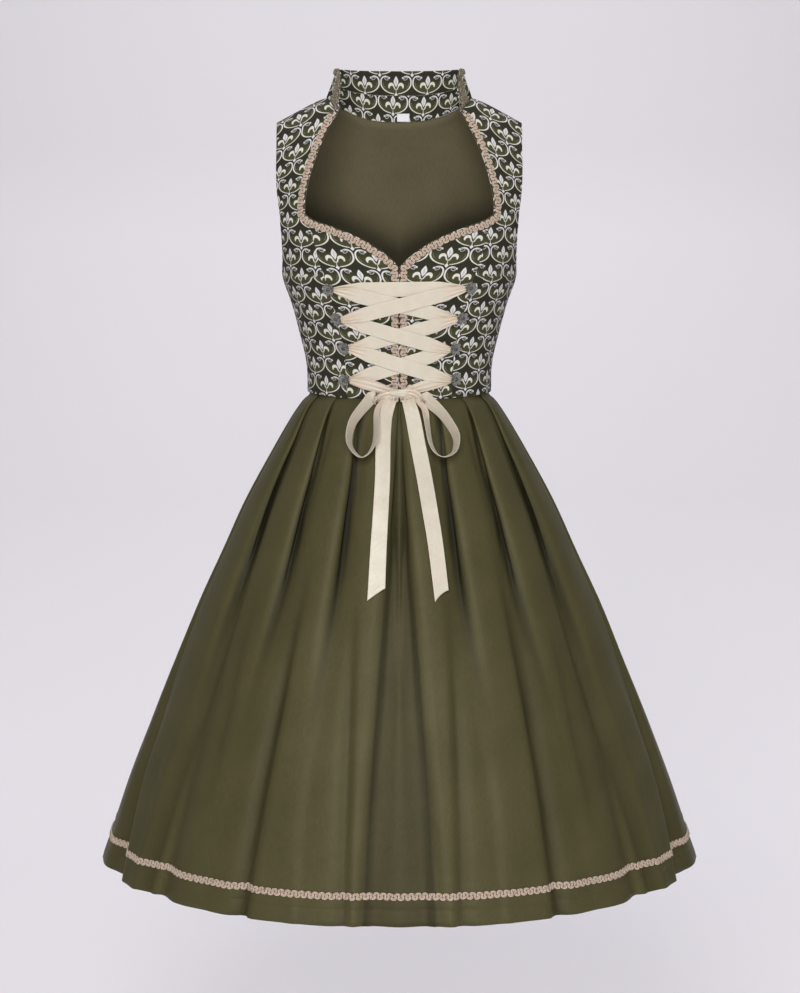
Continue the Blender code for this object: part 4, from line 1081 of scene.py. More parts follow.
def lily_group():
    """One fleur-de-lis over its scrolled ring, in millimetres about the ring's middle."""
    tree = bpy.data.node_groups.new("lily", "ShaderNodeTree")
    for label, way in (("Across", "INPUT"), ("Up", "INPUT"), ("Ink", "OUTPUT"), ("Accent", "OUTPUT"),
                       ("Inside", "OUTPUT"), ("Cool", "OUTPUT")):
        tree.interface.new_socket(label, in_out=way, socket_type="NodeSocketFloat")
    start = tree.nodes.new("NodeGroupInput")
    finish = tree.nodes.new("NodeGroupOutput")
    x, y = abs(Sum(tree, start.outputs[0])), Sum(tree, start.outputs[1])

    ring = ring_distance(x, y, 23.4, 14.2)
    thick = ((x / 23.4) ** 3 * 0.5 + 0.55) * ((5.5 - y) / 5.0).least(1.0).most(0.0)
    stroke = (abs(ring) - thick).inside() * y.below(5.5) * x.above(3.2)
    hook = (length(x - 16.5, y - 2.2) - 8.0).most(8.0 - length(x - 15.4, y - 0.7))
    hook = hook.inside() * y.above(-1.5)
    bulb = (length(x - 10.7, y - 7.3) - 1.3).inside()
    turned_x = (x - 15.0) * 0.93 + (y - 6.2) * 0.37
    turned_y = (y - 6.2) * 0.93 - (x - 15.0) * 0.37
    almond = (abs(ring_distance(turned_x, turned_y, 3.0, 1.5)) - 0.4).inside(0.4)
    rise = ((y - 2.2) / 7.6).most(0.0)
    fall = ((2.2 - y) / 7.2).most(0.0).least(1.0)
    leaf_width = ((1.0 - rise ** 1.7) * 3.7).least((1.0 - fall ** 1.3) * 3.6 + 0.1)
    leaf = (x - leaf_width).inside() * y.above(-5.0) * y.below(9.8)
    petal = (length(x - 7.6, y + 3.9) - 4.8).most(3.2 - length(x - 6.9, y + 6.4))
    petal = petal.inside() * y.above(-6.8)
    leg = (abs(x + (y + 7.6) * -0.45 - 1.9) - 0.85).inside() * y.below(-3.6) * y.above(-7.6)
    gap = (x - leaf_width - 0.6).inside(0.4)
    petal = petal.most(leg) * (1.0 - gap)
    stem = (x - 0.5).inside() * y.above(-13.4) * y.below(-8.4)
    spade = ((x / 2.7 + abs(y + 15.4) / 3.0 - 1.0) * 2.0).inside()
    foot = (abs(y + 8.1) - 0.6).inside() * x.below(2.6)
    cool = leaf.most(hook).most(bulb).most(almond * 0.7).most(spade)
    ink = cool.most(stroke).most(petal).most(foot * 0.75).most(stem * 0.8)

    vein = (x - leaf_width * 0.3).inside() * y.above(-3.0) * y.below(6.0)
    echo = (abs(ring_distance(x, y, 20.2, 11.2)) - 0.4).inside() * y.above(-6.0) * y.below(1.0)
    inside = (ring - 0.5).inside(1.5) * ((7.0 - y) / 12.0).least(1.0).most(0.0)
    for place, value in enumerate((ink, vein.most(echo * 0.8), inside, cool)):
        tree.links.new(value.socket, finish.inputs[place])
    return tree


class Finish:
    """A material with short ways to add its nodes."""

    def __init__(self, name, roughness, **sockets):
        self.material = bpy.data.materials.new(name)
        self.material.use_nodes = True
        self.tree = self.material.node_tree
        self.shader = self.tree.nodes["Principled BSDF"]
        self.shader.inputs["Roughness"].default_value = roughness
        for label, value in sockets.items():
            self.shader.inputs[label.replace("_", " ")].default_value = value

    def add(self, kind, **values):
        node = self.tree.nodes.new(kind)
        for label, value in values.items():
            if hasattr(node, label):
                setattr(node, label, value)
            else:
                node.inputs[label.replace("_", " ")].default_value = value
        return node

    def link(self, output, target):
        self.tree.links.new(output, target)
        return target

    def cloth_map(self, scale):
        """Coordinates along the cloth: 1 is `scale` metres."""
        place = self.add("ShaderNodeUVMap", uv_map="cloth")
        sized = self.add("ShaderNodeMapping")
        sized.inputs["Scale"].default_value = (1 / scale, 1 / scale, 1)
        self.link(place.outputs[0], sized.inputs["Vector"])
        return sized.outputs[0]

    def run_and_across(self, place):
        """The two coordinates along the cloth, in millimetres."""
        split = self.add("ShaderNodeSeparateXYZ")
        self.link(place, split.inputs[0])
        return [Sum(self.tree, split.outputs[i]) * 1000 for i in (0, 1)]

    def solid_map(self):
        return self.add("ShaderNodeTexCoord").outputs["Object"]

    def noise(self, place, size, detail=3.0, stretch=(1, 1, 1)):
        """A soft cloudy number, whose blots are `size` metres."""
        sized = self.add("ShaderNodeMapping")
        sized.inputs["Scale"].default_value = tuple(s / size for s in stretch)
        self.link(place, sized.inputs["Vector"])
        clouds = self.add("ShaderNodeTexNoise", Scale=1.0, Detail=detail)
        self.link(sized.outputs[0], clouds.inputs["Vector"])
        return clouds.outputs[0]

    def ramp(self, value, *stops):
        ramp = self.add("ShaderNodeValToRGB")
        ramp.color_ramp.elements[0].position = stops[0][0]
        ramp.color_ramp.elements[1].position = stops[-1][0]
        for position, _ in stops[1:-1]:
            ramp.color_ramp.elements.new(position)
        for element, (_, colour) in zip(ramp.color_ramp.elements, stops):
            element.color = (*colour[:3], 1.0)
        self.link(value, ramp.inputs[0])
        return ramp.outputs[0]

    def mottled(self, value, colour, low, high):
        """A colour that goes with a number; `low` and `high` give a value and a factor for the colour."""
        return self.ramp(value, *((at, scaled(colour, factor)) for at, factor in (low, high)))

    def with_painted_shade(self, colour, shade_colour):
        """Painted shade: a colour that turns to a darker one down in the folds and in shadows, as far as the
        points' shade attribute goes.
        """
        fold = self.add("ShaderNodeAttribute", attribute_name="shade")
        return self.blend(fold.outputs["Fac"], colour, shade_colour)

    def blend(self, share, a, b, kind="MIX"):
        node = self.add("ShaderNodeMix", data_type="RGBA", blend_type=kind)
        for value, place in ((share, 0), (a, 6), (b, 7)):
            if isinstance(value, bpy.types.NodeSocket):
                self.link(value, node.inputs[place])
            elif place:
                node.inputs[place].default_value = (*value[:3], 1.0)
            else:
                node.inputs[place].default_value = value
        return node.outputs[2]

    def weave(self, place, threads, depth, slant=1.0):
        """Fine twill lines broken by a cross thread."""
        lines = []
        for across, up in ((1.0, slant), (1.0, -0.35 * slant)):
            sized = self.add("ShaderNodeMapping")
            sized.inputs["Scale"].default_value = (across * threads, up * threads, 1)
            self.link(place, sized.inputs["Vector"])
            wave = self.add("ShaderNodeTexWave", bands_direction="DIAGONAL", Scale=1.0, Distortion=0.4)
            self.link(sized.outputs[0], wave.inputs["Vector"])
            lines.append(Sum(self.tree, wave.outputs["Fac"]))
        return self.bump((lines[0] + lines[1] * 0.6).socket, depth)

    def bump(self, height, depth, below=None):
        node = self.add("ShaderNodeBump", Strength=1.0, Distance=depth)
        self.link(height, node.inputs["Height"])
        if below is not None:
            self.link(below, node.inputs["Normal"])
        return node.outputs[0]

    def paint(self, colour=None, normal=None, roughness=None):
        for value, socket in ((colour, "Base Color"), (normal, "Normal"), (roughness, "Roughness")):
            if value is not None:
                self.link(value, self.shader.inputs[socket])
        return self.material


def finish_of(name, make):
    """The finish of this name, made the first time that a piece asks for it."""
    found = bpy.data.materials.get(name)
    return found if found else make(name, bpy.context.scene.dress)


def scaled(colour, factor):
    return tuple(c * factor for c in colour[:3])


def printed_cotton(name, dress):
    finish = Finish(name, 0.7, Specular_IOR_Level=0.15)
    place = finish.cloth_map(1.0)
    u, v = finish.run_and_across(place)
    lily = bpy.data.node_groups.get("lily") or lily_group()
    width, height = PRINT_REPEAT, PRINT_REPEAT * PRINT_TALL
    parts = []
    for shift in (0.0, 0.5):
        motif = finish.add("ShaderNodeGroup", node_tree=lily)
        for value, size, place_in in ((u, width, 0), (v, height, 1)):
            offset = CELL_SHIFT if place_in else 0.0
            cell = (value / size + (shift + 0.5 + offset)).node("FLOORED_MODULO", 1.0) - (0.5 + offset)
            finish.link((cell * size).socket, motif.inputs[place_in])
        parts.append([Sum(finish.tree, motif.outputs[i]) for i in range(4)])
    ink, accent, inside, cool = (a.most(b) for a, b in zip(*parts))
    worn = Sum(finish.tree, finish.noise(place, 0.004, 4.0))
    cloud = finish.noise(place, 0.03, 2.0)
    ground = finish.blend(cloud, scaled(dress.print_ground, 0.8), scaled(dress.print_ground, 1.25))
    olive = finish.blend(cloud, scaled(dress.print_olive, 0.8), scaled(dress.print_olive, 1.2))
    colour = finish.blend(inside.socket, ground, olive)
    colour = finish.blend((accent * (worn * 0.6 + 0.3)).socket, colour, dress.print_accent)
    thread = finish.blend(cool.socket, dress.print_ink, dress.print_cool)
    colour = finish.blend((ink * (worn * 0.6 + 0.66).least(1.0) * (1.0 - accent * 0.35)).socket, colour,
                          thread)
    weave = finish.weave(place, 1100, 0.00006)
    raised = finish.bump((ink * 1.0).socket, 0.00005, weave)
    return finish.paint(colour, raised)


def olive_cotton(name, dress, colour=None, roughness=0.5, lustre=0.12):
    """Plain cotton; `lustre` is how much of its light it mirrors, as sateen does."""
    colour = dress.skirt_colour if colour is None else colour
    finish = Finish(name, roughness, Specular_IOR_Level=0.1, Metallic=lustre)
    place = finish.cloth_map(1.0)
    cloud = finish.noise(place, 0.09, 3.0)
    thread = finish.noise(place, 0.0012, 2.0, (1, 0.12, 1))
    shade = finish.mottled(cloud, colour, (0.25, 0.9), (0.75, 1.1))
    shade = finish.blend(0.35, shade, finish.ramp(thread, (0.3, (0.75,) * 3), (0.7, (1.2,) * 3)), "MULTIPLY")
    # painted shade: darker where the skirt's fold edges and creases and the front's neckline shade the cloth,
    # from each point's shade attribute
    shade = finish.with_painted_shade(shade, scaled(colour, 0.06))
    crumple = finish.bump(finish.noise(place, 0.012, 4.0), 0.0005)
    weave = finish.bump(thread, 0.00012, crumple)
    return finish.paint(shade, weave)


def lining_cotton(name, dress):
    return olive_cotton(name, dress, dress.lining_colour, 0.75, 0.0)


def ivory_satin(name, dress):
    colour = dress.ribbon_colour
    finish = Finish(name, 0.36, Sheen_Weight=0.3, Sheen_Roughness=0.35, Subsurface_Weight=0.12,
                    Subsurface_Scale=0.002, Anisotropic=0.4)
    place = finish.cloth_map(1.0)
    cloud = finish.noise(place, 0.02, 2.0)
    ribs = finish.noise(place, 0.0009, 2.0, (0.1, 1, 1))
    shade = finish.mottled(cloud, colour, (0.3, 0.95), (0.7, 1.02))
    # painted shade down in the ribbon's gathered folds
    shade = finish.with_painted_shade(shade, dress.satin_fold_shade)
    soft = finish.bump(finish.noise(place, 0.007, 3.0), 0.0004)
    return finish.paint(shade, finish.bump(ribs, 0.00005, soft))


def braid_thread(name, dress):
    return corded(name, (dress.braid_cream, dress.braid_rose), dress.braid_ground_and_shade, 0.6)


def shaded_braid_thread(name, dress):
    """The same braid with olive threads in it, as on the collar, made darker overall as painted shade where
    the collar's front edges turn away from the light.
    """
    olive = dress.collar_cords_olive_and_shade
    return corded(name, (olive, scaled(olive, 0.5)), scaled(olive, 0.1), 0.9)


def braid_tape(name, dress):
    finish = Finish(name, 0.85, Specular_IOR_Level=0.2)
    place = finish.cloth_map(1.0)
    # the tape's dark colour is partly painted shade between the braid's cords
    shade = finish.mottled(finish.noise(place, 0.0012), dress.braid_ground_and_shade, (0.35, 0.6), (0.65, 1.7))
    return finish.paint(shade, finish.bump(finish.noise(place, 0.0007), 0.0003))


def corded(name, pale, dark, blots):
    """Three cords side by side, each twisted, with painted shade in the valleys between them and at their
    outer edges, and darker blots of painted shade.
    """
    finish = Finish(name, 0.75, Specular_IOR_Level=0.25)
    place = finish.cloth_map(1.0)
    along, across = finish.run_and_across(place)
    twist = ((along * 5.5 + across * 4).node("SINE") * 0.5 + 0.5)
    middle = (abs(across) - 0.6).inside(0.3)
    valley = ((abs(abs(across) - 0.6)) - 0.2).inside(0.3).most((1.45 - abs(across)).inside(0.3))
    colour = finish.blend(middle.socket, *pale)
    # painted shade in the valleys between the cords and at the strand's edges
    colour = finish.blend((valley * 0.6).socket, colour, dark)
    colour = finish.blend((twist * 0.3).socket, colour, scaled(pale[1], 0.5))
    # blots of painted shade, for the dark gaps in the braid
    blot = Sum(finish.tree, finish.noise(place, 0.0022, 1.0))
    colour = finish.blend((((blot - 0.54) * 9).node("ADD", 0.0, clamp=True) * blots).socket, colour, dark)
    fuzz = finish.bump(finish.noise(place, 0.0006, 3.0), 0.0001)
    return finish.paint(colour, finish.bump(twist.socket, 0.00018, fuzz))


def antique_silver(name, dress):
    finish = Finish(name, 0.34, Metallic=1.0)
    place = finish.solid_map()
    cloud = finish.noise(place, 0.0016, 4.0)
    colour = finish.mottled(cloud, dress.metal_colour, (0.35, 0.45), (0.6, 1.0))
    rough = finish.ramp(cloud, (0.3, (0.55,) * 3), (0.7, (0.26,) * 3))
    return finish.paint(colour, finish.bump(cloud, 0.00012), rough)


def tarnish(name, dress):
    """Blackened metal down between the wires."""
    finish = Finish(name, 0.6, Metallic=0.6)
    place = finish.solid_map()
    cloud = finish.noise(place, 0.0009)
    shade = finish.mottled(cloud, dress.metal_colour, (0.4, 0.06), (0.62, 0.4))
    return finish.paint(shade, finish.bump(cloud, 0.0003))


def white_tape(name, dress):
    finish = Finish(name, 0.8)
    place = finish.cloth_map(1.0)
    shade = finish.mottled(finish.noise(place, 0.003), dress.tape_colour, (0.3, 0.92), (0.7, 1.0))
    return finish.paint(shade, finish.weave(place, 1600, 0.00008, 0.0))


def pale_studio(name, dress):
    finish = Finish(name, 0.85)
    colour = dress.stage_colour
    split = finish.add("ShaderNodeSeparateXYZ")
    finish.link(finish.solid_map(), split.inputs[0])
    height = (Sum(finish.tree, split.outputs[2]) - FLOOR) / STAGE_HEIGHT
    # painted light on the floor and painted shade near the top, by height, to even out how the lamps light
    # the backdrop
    stops = [(level, scaled(colour, share)) for level, share in STAGE_PAINTED_LIGHT]
    return finish.paint(finish.ramp(height.socket, *stops))


# ------------ what a user would change

def colour_property(label, description, default):
    return bpy.props.FloatVectorProperty(name=label, description=description, default=default, size=3,
                                         min=0, max=1, subtype="COLOR")


def length_property(label, description, millimetres, low, high):
    return bpy.props.FloatProperty(name=label, description=description, default=millimetres * MM,
                                   min=low * MM, max=high * MM, subtype="DISTANCE", unit="LENGTH")


class DressSettings(bpy.types.PropertyGroup):
    """Colours and trim of the dress."""
    print_ground: colour_property("Print ground", "Dark ground of the printed bodice", (0.027, 0.027, 0.016))
    print_olive: colour_property("Print olive", "Olive inside the printed rings", (0.060, 0.060, 0.026))
    print_ink: colour_property("Print ink", "Cream ink of the rings and petals", (0.74, 0.72, 0.64))
    print_cool: colour_property("Print cool ink", "Silver ink of the leaves and hooks", (0.74, 0.72, 0.73))
    print_accent: colour_property("Print accent", "Dim accents of the print", (0.30, 0.28, 0.22))
    skirt_colour: colour_property("Skirt", "Olive cotton of the skirt", (0.083, 0.0745, 0.0325))
    lining_colour: colour_property("Lining", "Olive lining of the bodice", (0.135, 0.116, 0.066))
    ribbon_colour: colour_property("Ribbon", "Ivory satin", (0.67, 0.602, 0.49))
    # painted shade: the warm colour that the ribbon turns to down in its gathered folds
    satin_fold_shade: colour_property("Ribbon folds", "Warmer tone down in the folds", (0.66, 0.44, 0.31))
    braid_cream: colour_property("Braid, outer cords", "Cream cords of the braid", (0.88, 0.76, 0.62))
    braid_rose: colour_property("Braid, middle cord", "Rose cord of the braid", (0.68, 0.49, 0.38))
    # painted shade: the dark of the braid's valleys and blots, also the tape's colour, which partly stands
    # for the shade between the cords
    braid_ground_and_shade: colour_property("Braid, ground", "Shaded tape behind the cords", (0.13, 0.085, 0.06))
    # partly painted shade: the collar braid's olive cords, darker for the shade at the collar's front edges
    collar_cords_olive_and_shade: colour_property("Braid, collar", "Olive-cream cords on the collar", (0.50, 0.44, 0.31))
    metal_colour: colour_property("Rosettes", "Antique silver", (0.55, 0.54, 0.50))
    tape_colour: colour_property("Neck tab", "White tape", (0.80, 0.80, 0.84))
    stage_colour: colour_property("Backdrop", "Floor and backdrop", (0.75, 0.73, 0.765))
    bodice_wall: length_property("Bodice cloth", "Thickness of the bodice", 1.5, 1, 3)
    lining_wall: length_property("Lining cloth", "Thickness of the back lining", 1.0, 0.6, 2)
    collar_wall: length_property("Collar cloth", "Thickness of the collar", 2.0, 1, 3)
    hem_stitch_drop: length_property("Hem stitching", "Drop of the hem's stitching line", 650, 640, 664)


# ------------ pieces

def hook_middle(row, side):
    return HOOKS[row][:2] if side < 0 else HOOKS[row][2:]


def waist_raised(level, turn):
    """The bodice's lower edge stands a little higher at the sides."""
    return level + WAIST_RISE * np.sin(np.radians(turn)) ** 2 * np.clip(1 - level / 2, 0, 1)


def bodice_piece(name, level, turn, displaced, wall, fabric, node, inside):
    level = waist_raised(level, turn)
    outer = form_point(level, turn, displaced)
    inner = form_point(level, turn, displaced - wall)
    outer_finish = finish_of("printed_cotton", printed_cotton)
    piece = cloth(name, outer, inner, fabric, [outer_finish, inside])
    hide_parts(node)
    return piece


class DRESS_OT_front_panels(bpy.types.Operator):
    """Four printed panels of the bodice front, with their straps"""
    bl_idname = "dress.front_panels"
    bl_label = "Front panels"

    def execute(self, context):
        wall = context.scene.dress.bodice_wall / MM
        lining = finish_of("lining_cotton", lining_cotton)
        for side, label in SIDES:
            level, turn = self.centre_places(side)
            flat = form_place(level, turn)
            gap = arc(flat[:, ::-1], 1)[:, ::-1]
            folds = sewn(gap, arc(flat, 0), 30 + side) + self.pulls(flat)
            seam = distance_round(level, side * locate(smooth(PRINCESS, flat[..., 2])[0], flat[..., 2])[1])
            share = np.clip(distance_round(level, turn) / seam, 0, 1)
            across = distance_round(level, turn) - (seam - seam[:1]) * mix(0.7, 1.0, share)
            up = np.interp(level, LEVELS, UP_FRONT) + CENTRE_TILT * flat[..., 0]
            fabric = pinned(across, up, level, turn, *CENTRE_PINS[side], CENTRE_REPEAT)
            piece = bodice_piece(f"centre_panel_{label}", level, turn, folds, wall, fabric,
                                 f"front_centre_{label}", lining)

            level, turn = front_side_places(side, SIDE_ROWS, SIDE_COLUMNS)
            level, turn = self.closer(level), self.closer(turn)
            flat = form_place(level, turn)
            gap = np.minimum(arc(flat, 1), arc(flat[:, ::-1], 1)[:, ::-1])
            below_strap = ease((level - STRAP_FOOT_LEVEL) / -0.6)
            folds = sewn(gap, arc(flat, 0), 33 + side) * mix(0.25, 1.0, below_strap) + self.pulls(flat)
            round_body = distance_round(level, turn)
            across = round_body - round_body.mean(1, keepdims=True)
            up = np.interp(level, LEVELS, UP_FRONT) + STRAP_TILT * flat[..., 0]
            fabric = pinned(across, up, level, turn, *STRAP_PINS[side], PRINT_REPEAT)
            piece = bodice_piece(f"side_panel_{label}", level, turn, folds, wall, fabric,
                                 f"front_side_{label}", lining)
        return {"FINISHED"}

    def centre_places(self, side):
        level, turn = front_centre_places(side, *CENTRE_GRID)
        return self.closer(level, False), self.closer(turn, False)

    def closer(self, grid, both=True):
        """Columns moved closer together beside the seams."""
        shares = toward_edges(SEWN_COLUMNS) if both else 1 - toward_edges(SEWN_COLUMNS, False)[::-1]
        at = shares * (grid.shape[1] - 1)
        low = np.minimum(at.astype(int), grid.shape[1] - 2)
        return mix(grid[:, low], grid[:, low + 1], at - low)

    def pulls(self, flat):
        """Small folds where each rosette draws the cloth towards the lacing."""
        x, height = flat[..., 0], flat[..., 2]
        total = 0.35 * ripple(41, x + height * 0.4, 40, 110, 5)
        for row in HOOKS:
            for hook_x, hook_height in (row[:2], row[2:]):
                away = np.hypot(x - hook_x, height - hook_height)
                angle = np.arctan2(height - hook_height, x - hook_x)
                total += 0.55 * np.exp(-away / 16) * np.cos(5 * angle + hook_x) * ease(away / 8)
        return total


class DRESS_OT_back_panel(bpy.types.Operator):
    """Printed back of the bodice in one piece"""
    bl_idname = "dress.back_panel"
    bl_label = "Back panel"

    def execute(self, context):
        wall = context.scene.dress.bodice_wall / MM
        level, turn = back_places(BACK_ROWS, BACK_FINER)
        flat = form_place(level, turn)
        gap = np.minimum(arc(flat, 1), arc(flat[:, ::-1], 1)[:, ::-1])
        below_top = ease((level - BACK_SEAM_TOP_LEVEL) / -0.6)
        folds = sewn(gap, arc(flat, 0), 51) * below_top + back_drape(flat)
        across = distance_round(level, turn)
        half_round = distance_round(level, np.full(level.shape, 180.0))
        across = np.sign(turn) * (half_round - np.abs(across))
        up = np.interp(level, LEVELS, UP_BACK)
        fabric = np.stack([-across, up], -1)
        piece = bodice_piece("back_panel", level, turn, folds, wall, fabric, "back",
                             finish_of("lining_cotton", lining_cotton))
        return {"FINISHED"}


def back_drape(flat):
    """Soft vertical unevenness of the back, shared by the cloth and its lining."""
    x, height = flat[..., 0], flat[..., 2]
    return 0.7 * ripple(42, x + height * 0.15, 60, 140, 4) + 0.3 * ripple(43, height + x * 0.3, 40, 90, 4)


def lining_shadow(flat):
    """Darkness of the lining just above the front's lower neckline."""
    x, height = flat[..., 0], flat[..., 2]
    most, reach, power = LINING_SHADOW
    foot = np.interp(np.abs(x), *zip(*LINING_SHADOW_FOOT))
    return most * np.exp(-np.maximum((height - foot) / reach, 0) ** power)


class DRESS_OT_lining(bpy.types.Operator):
    """Olive lining inside the back"""
    bl_idname = "dress.lining"
    bl_label = "Back lining"

    def execute(self, context):
        wall = context.scene.dress.lining_wall / MM
        level, turn = back_places(LINING_ROWS, BACK_FINER)
        level[0] = mix(level[0], level[6], 0.6)    # its foot ends above the waist seam
        flat = form_place(level, turn)
        gap = arc(flat[::-1], 0)[::-1]
        run = flat[..., 0]
        folds = 0.55 * np.exp(-gap / 14) * ripple(61, run, 5, 15, 6) + back_drape(flat)
        folds -= 0.8 * np.exp(-gap / 40) * (0.5 + 0.5 * ripple(62, run, 24, 60, 4)) * ease(gap / 6)
        outer = form_point(level, turn, folds - LINING_INSET)
        inner = form_point(level, turn, folds - LINING_INSET - wall)
        piece = cloth("back_lining_cloth", outer, inner, plain_fabric(flat),
                      [finish_of("lining_cotton", lining_cotton)], shade=lining_shadow(flat).ravel())
        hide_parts("back_lining")
        return {"FINISHED"}


class DRESS_OT_collar(bpy.types.Operator):
    """Printed stand collar"""
    bl_idname = "dress.collar"
    bl_label = "Stand collar"

    def execute(self, context):
        half = context.scene.dress.collar_wall / MM / 2
        place = np.linspace(0, 2, COLLAR_COLUMNS + 1)
        share = spread(((0, COLLAR_SEAM - 0.03, 9), (COLLAR_SEAM - 0.03, COLLAR_SEAM + 0.03, 8),
                        (COLLAR_SEAM + 0.03, 1, 10)))[:, None]
        run = arc(collar_middle(place, 0.5), 0)
        drape = 0.5 * ripple(71, run + share * 12, 30, 90, 5) * ease(share * 2)
        drape = drape + 0.35 * ripple(72, run, 6, 18, 6) * np.exp(-share * 8)
        groove = 0.45 * bell(share - COLLAR_SEAM, 0.012)
        outer = collar_point(place, share * collar_corner(place), half + drape)
        inner = collar_point(place, share * collar_corner(place), -half + drape + groove)
        run, height = np.broadcast_arrays(run - run[COLLAR_COLUMNS // 2], share * COLLAR_HEIGHT)
        size = PRINT_REPEAT / COLLAR_REPEAT
        (upper_run, upper_share), (lower_run, lower_share) = COLLAR_PINS
        upper = np.stack([run - upper_run, height - upper_share * COLLAR_HEIGHT + LILY_RISE], -1) * size
        lower_up = height - lower_share * COLLAR_HEIGHT + LILY_RISE + COLLAR_SLOPE * run
        lower = np.stack([run - lower_run, lower_up], -1) * size
        within = np.where((share > COLLAR_SEAM)[..., None], upper, lower)
        printed = finish_of("printed_cotton", printed_cotton)
        piece = cloth("stand_collar", outer, inner, upper, [printed], within)
        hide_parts("collar")
        return {"FINISHED"}


class DRESS_OT_neck_tab(bpy.types.Operator):
    """Blank folded tape on the inside of the collar"""
    bl_idname = "dress.neck_tab"
    bl_label = "Neck tab"

    def execute(self, context):
        near = -context.scene.dress.collar_wall / MM / 2 - 0.35
        share = np.linspace(*NECK_TAB_ROWS, 15)[:, None]
        place = np.linspace(*NECK_TAB_PLACES, 25)
        lift = 0.25 * ripple(75, place * COLLAR_HALF_LENGTH + share * 30, 6, 20, 4)
        fold = 0.5 * bell(share - NECK_TAB_ROWS[1], 0.02)
        outer = collar_point(place, share, near + lift * 0)
        inner = collar_point(place, share, near - 0.8 - fold + lift)
        piece = cloth("neck_tape", outer, inner, plain_fabric(outer), [finish_of("white_tape", white_tape)])
        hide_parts("neck_tab")
        return {"FINISHED"}


class DRESS_OT_skirt(bpy.types.Operator):
    """Pleated skirt, front and back, with a turned and stitched hem"""
    bl_idname = "dress.skirt"
    bl_label = "Skirt"

    def execute(self, context):
        stitch = context.scene.dress.hem_stitch_drop / MM
        finish = finish_of("olive_cotton", olive_cotton)
        # rows stand closer at the waist and beside the hem's stitching
        drop = np.concatenate([(-8, -4, -1), np.arange(2, 40, 4), np.arange(42, 636, 8.5),
                               stitch + np.array(STITCH_ROWS), (664, SKIRT_LENGTH)])
        hem = ease((drop - stitch + 1.5) / 2)[:, None] * 0.5
        groove = bell(drop - stitch, 1.0)[:, None] * 0.7
        for front, label in HALVES:
            walls = SKIRT_WALL / 2 + hem * 0.4 - groove, -SKIRT_WALL / 2 - hem
            (outer, inner), shadow = skirt_surfaces(drop, front, walls)
            piece = cloth(f"skirt_cloth_{label}", outer, inner, plain_fabric(outer), [finish], shade=shadow)
            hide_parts(f"skirt_{label}")
        return {"FINISHED"}


def hem_rails(front):
    """Rails of the hem braid on the outside of the skirt."""
    (outer,), _ = skirt_surfaces(np.array(HEM_BRAID_DROPS), front, (SKIRT_WALL / 2 + 0.25,))
    low, high = outer[1], outer[0]
    along = np.gradient((low + high) / 2, axis=0)
    normal = unit(np.cross(along, high - low))
    return low, high, normal if front else -normal


class DRESS_OT_hem_braid(bpy.types.Operator):
    """Braid round the skirt above its hem"""
    bl_idname = "dress.hem_braid"
    bl_label = "Hem braid"

    def execute(self, context):
        finish = finish_of("braid_thread", braid_thread)
        for front, label in HALVES:
            low, high, normal = hem_rails(front)
            braid(f"hem_cords_{label}", low, high, normal, [f"braid_hem_{label}"], finish,
                  size=HEM_BRAID_SIZE)
        return {"FINISHED"}


class DRESS_OT_neckline_braid(bpy.types.Operator):
    """Braid up the centre front, over the heart-shaped edge and up the straps"""
    bl_idname = "dress.neckline_braid"
    bl_label = "Neckline braid"

    def execute(self, context):
        finish = finish_of("braid_thread", braid_thread)
        for side, label in SIDES:
            low, high, normal = self.rails(side)
            braid(f"neckline_cords_{label}", low, high, normal, [f"braid_front_{label}"], finish, 0.35)
        return {"FINISHED"}

    def rails(self, side):
        up_front = np.linspace(3, SWEETHEART[0][1], 60)
        over = np.linspace(4, SWEETHEART[-1][0], 50)
        strap = np.linspace(*STRAP_BRAID, 50)
        x = np.concatenate([0 * up_front + 0.3, over, smooth(STRAP, strap)[0]])
        height = np.concatenate([up_front, smooth(SWEETHEART, over)[0], strap])
        x = side * x
        edge = front_point(x, height)
        heading = np.gradient(edge, axis=0)
        for _ in range(3):
            heading[1:-1] = (heading[:-2] + 2 * heading[1:-1] + heading[2:]) / 4
        heading = unit(heading)
        normal = form_normal(*locate(x, height))
        inward = np.cross(heading, normal) * side
        rails = []
        for reach in (0.0, BRAID_WIDTH):
            moved = edge + inward * reach
            rails.append(front_point(moved[:, 0], moved[:, 2], 0.3))
        return rails[0], rails[1], normal


class DRESS_OT_collar_braid(bpy.types.Operator):
    """Braid up the collar's front edges and along its top"""
    bl_idname = "dress.collar_braid"
    bl_label = "Collar braid"

    def execute(self, context):
        near = context.scene.dress.collar_wall / MM / 2 + 0.6
        end = BRAID_WIDTH / COLLAR_HALF_LENGTH * COLLAR_BRAID_REACH
        rise = np.linspace(0.02, 0.76, 24)
        top = np.linspace(0.0, 2.0, 190)[1:-1]
        bunch_at, bunch_long, bunch_high = BUNCH
        from_end = np.minimum(top, 2 - top)
        bunch = bunch_high * bell(from_end - bunch_at, bunch_long)
        edge_place = np.concatenate([0 * rise, top, 0 * rise + 2])
        edge_share = np.concatenate([rise, collar_corner(top) + 0.015 + bunch, rise[::-1]])
        far_place = np.concatenate([0 * rise + end, np.clip(top, end, 2 - end), 0 * rise + 2 - end])
        near_share = 0 * top + 1 - BRAID_WIDTH / COLLAR_HEIGHT
        far_share = np.concatenate([rise, near_share, rise[::-1]])
        high = collar_point(edge_place, edge_share, near)
        low = collar_point(far_place, far_share, near)
        normal = unit(collar_point(far_place, far_share, near + 1) - low)
        braid("collar_cords", low, high, normal, ["braid_collar"],
              finish_of("shaded_braid_thread", shaded_braid_thread), 0.2)
        return {"FINISHED"}


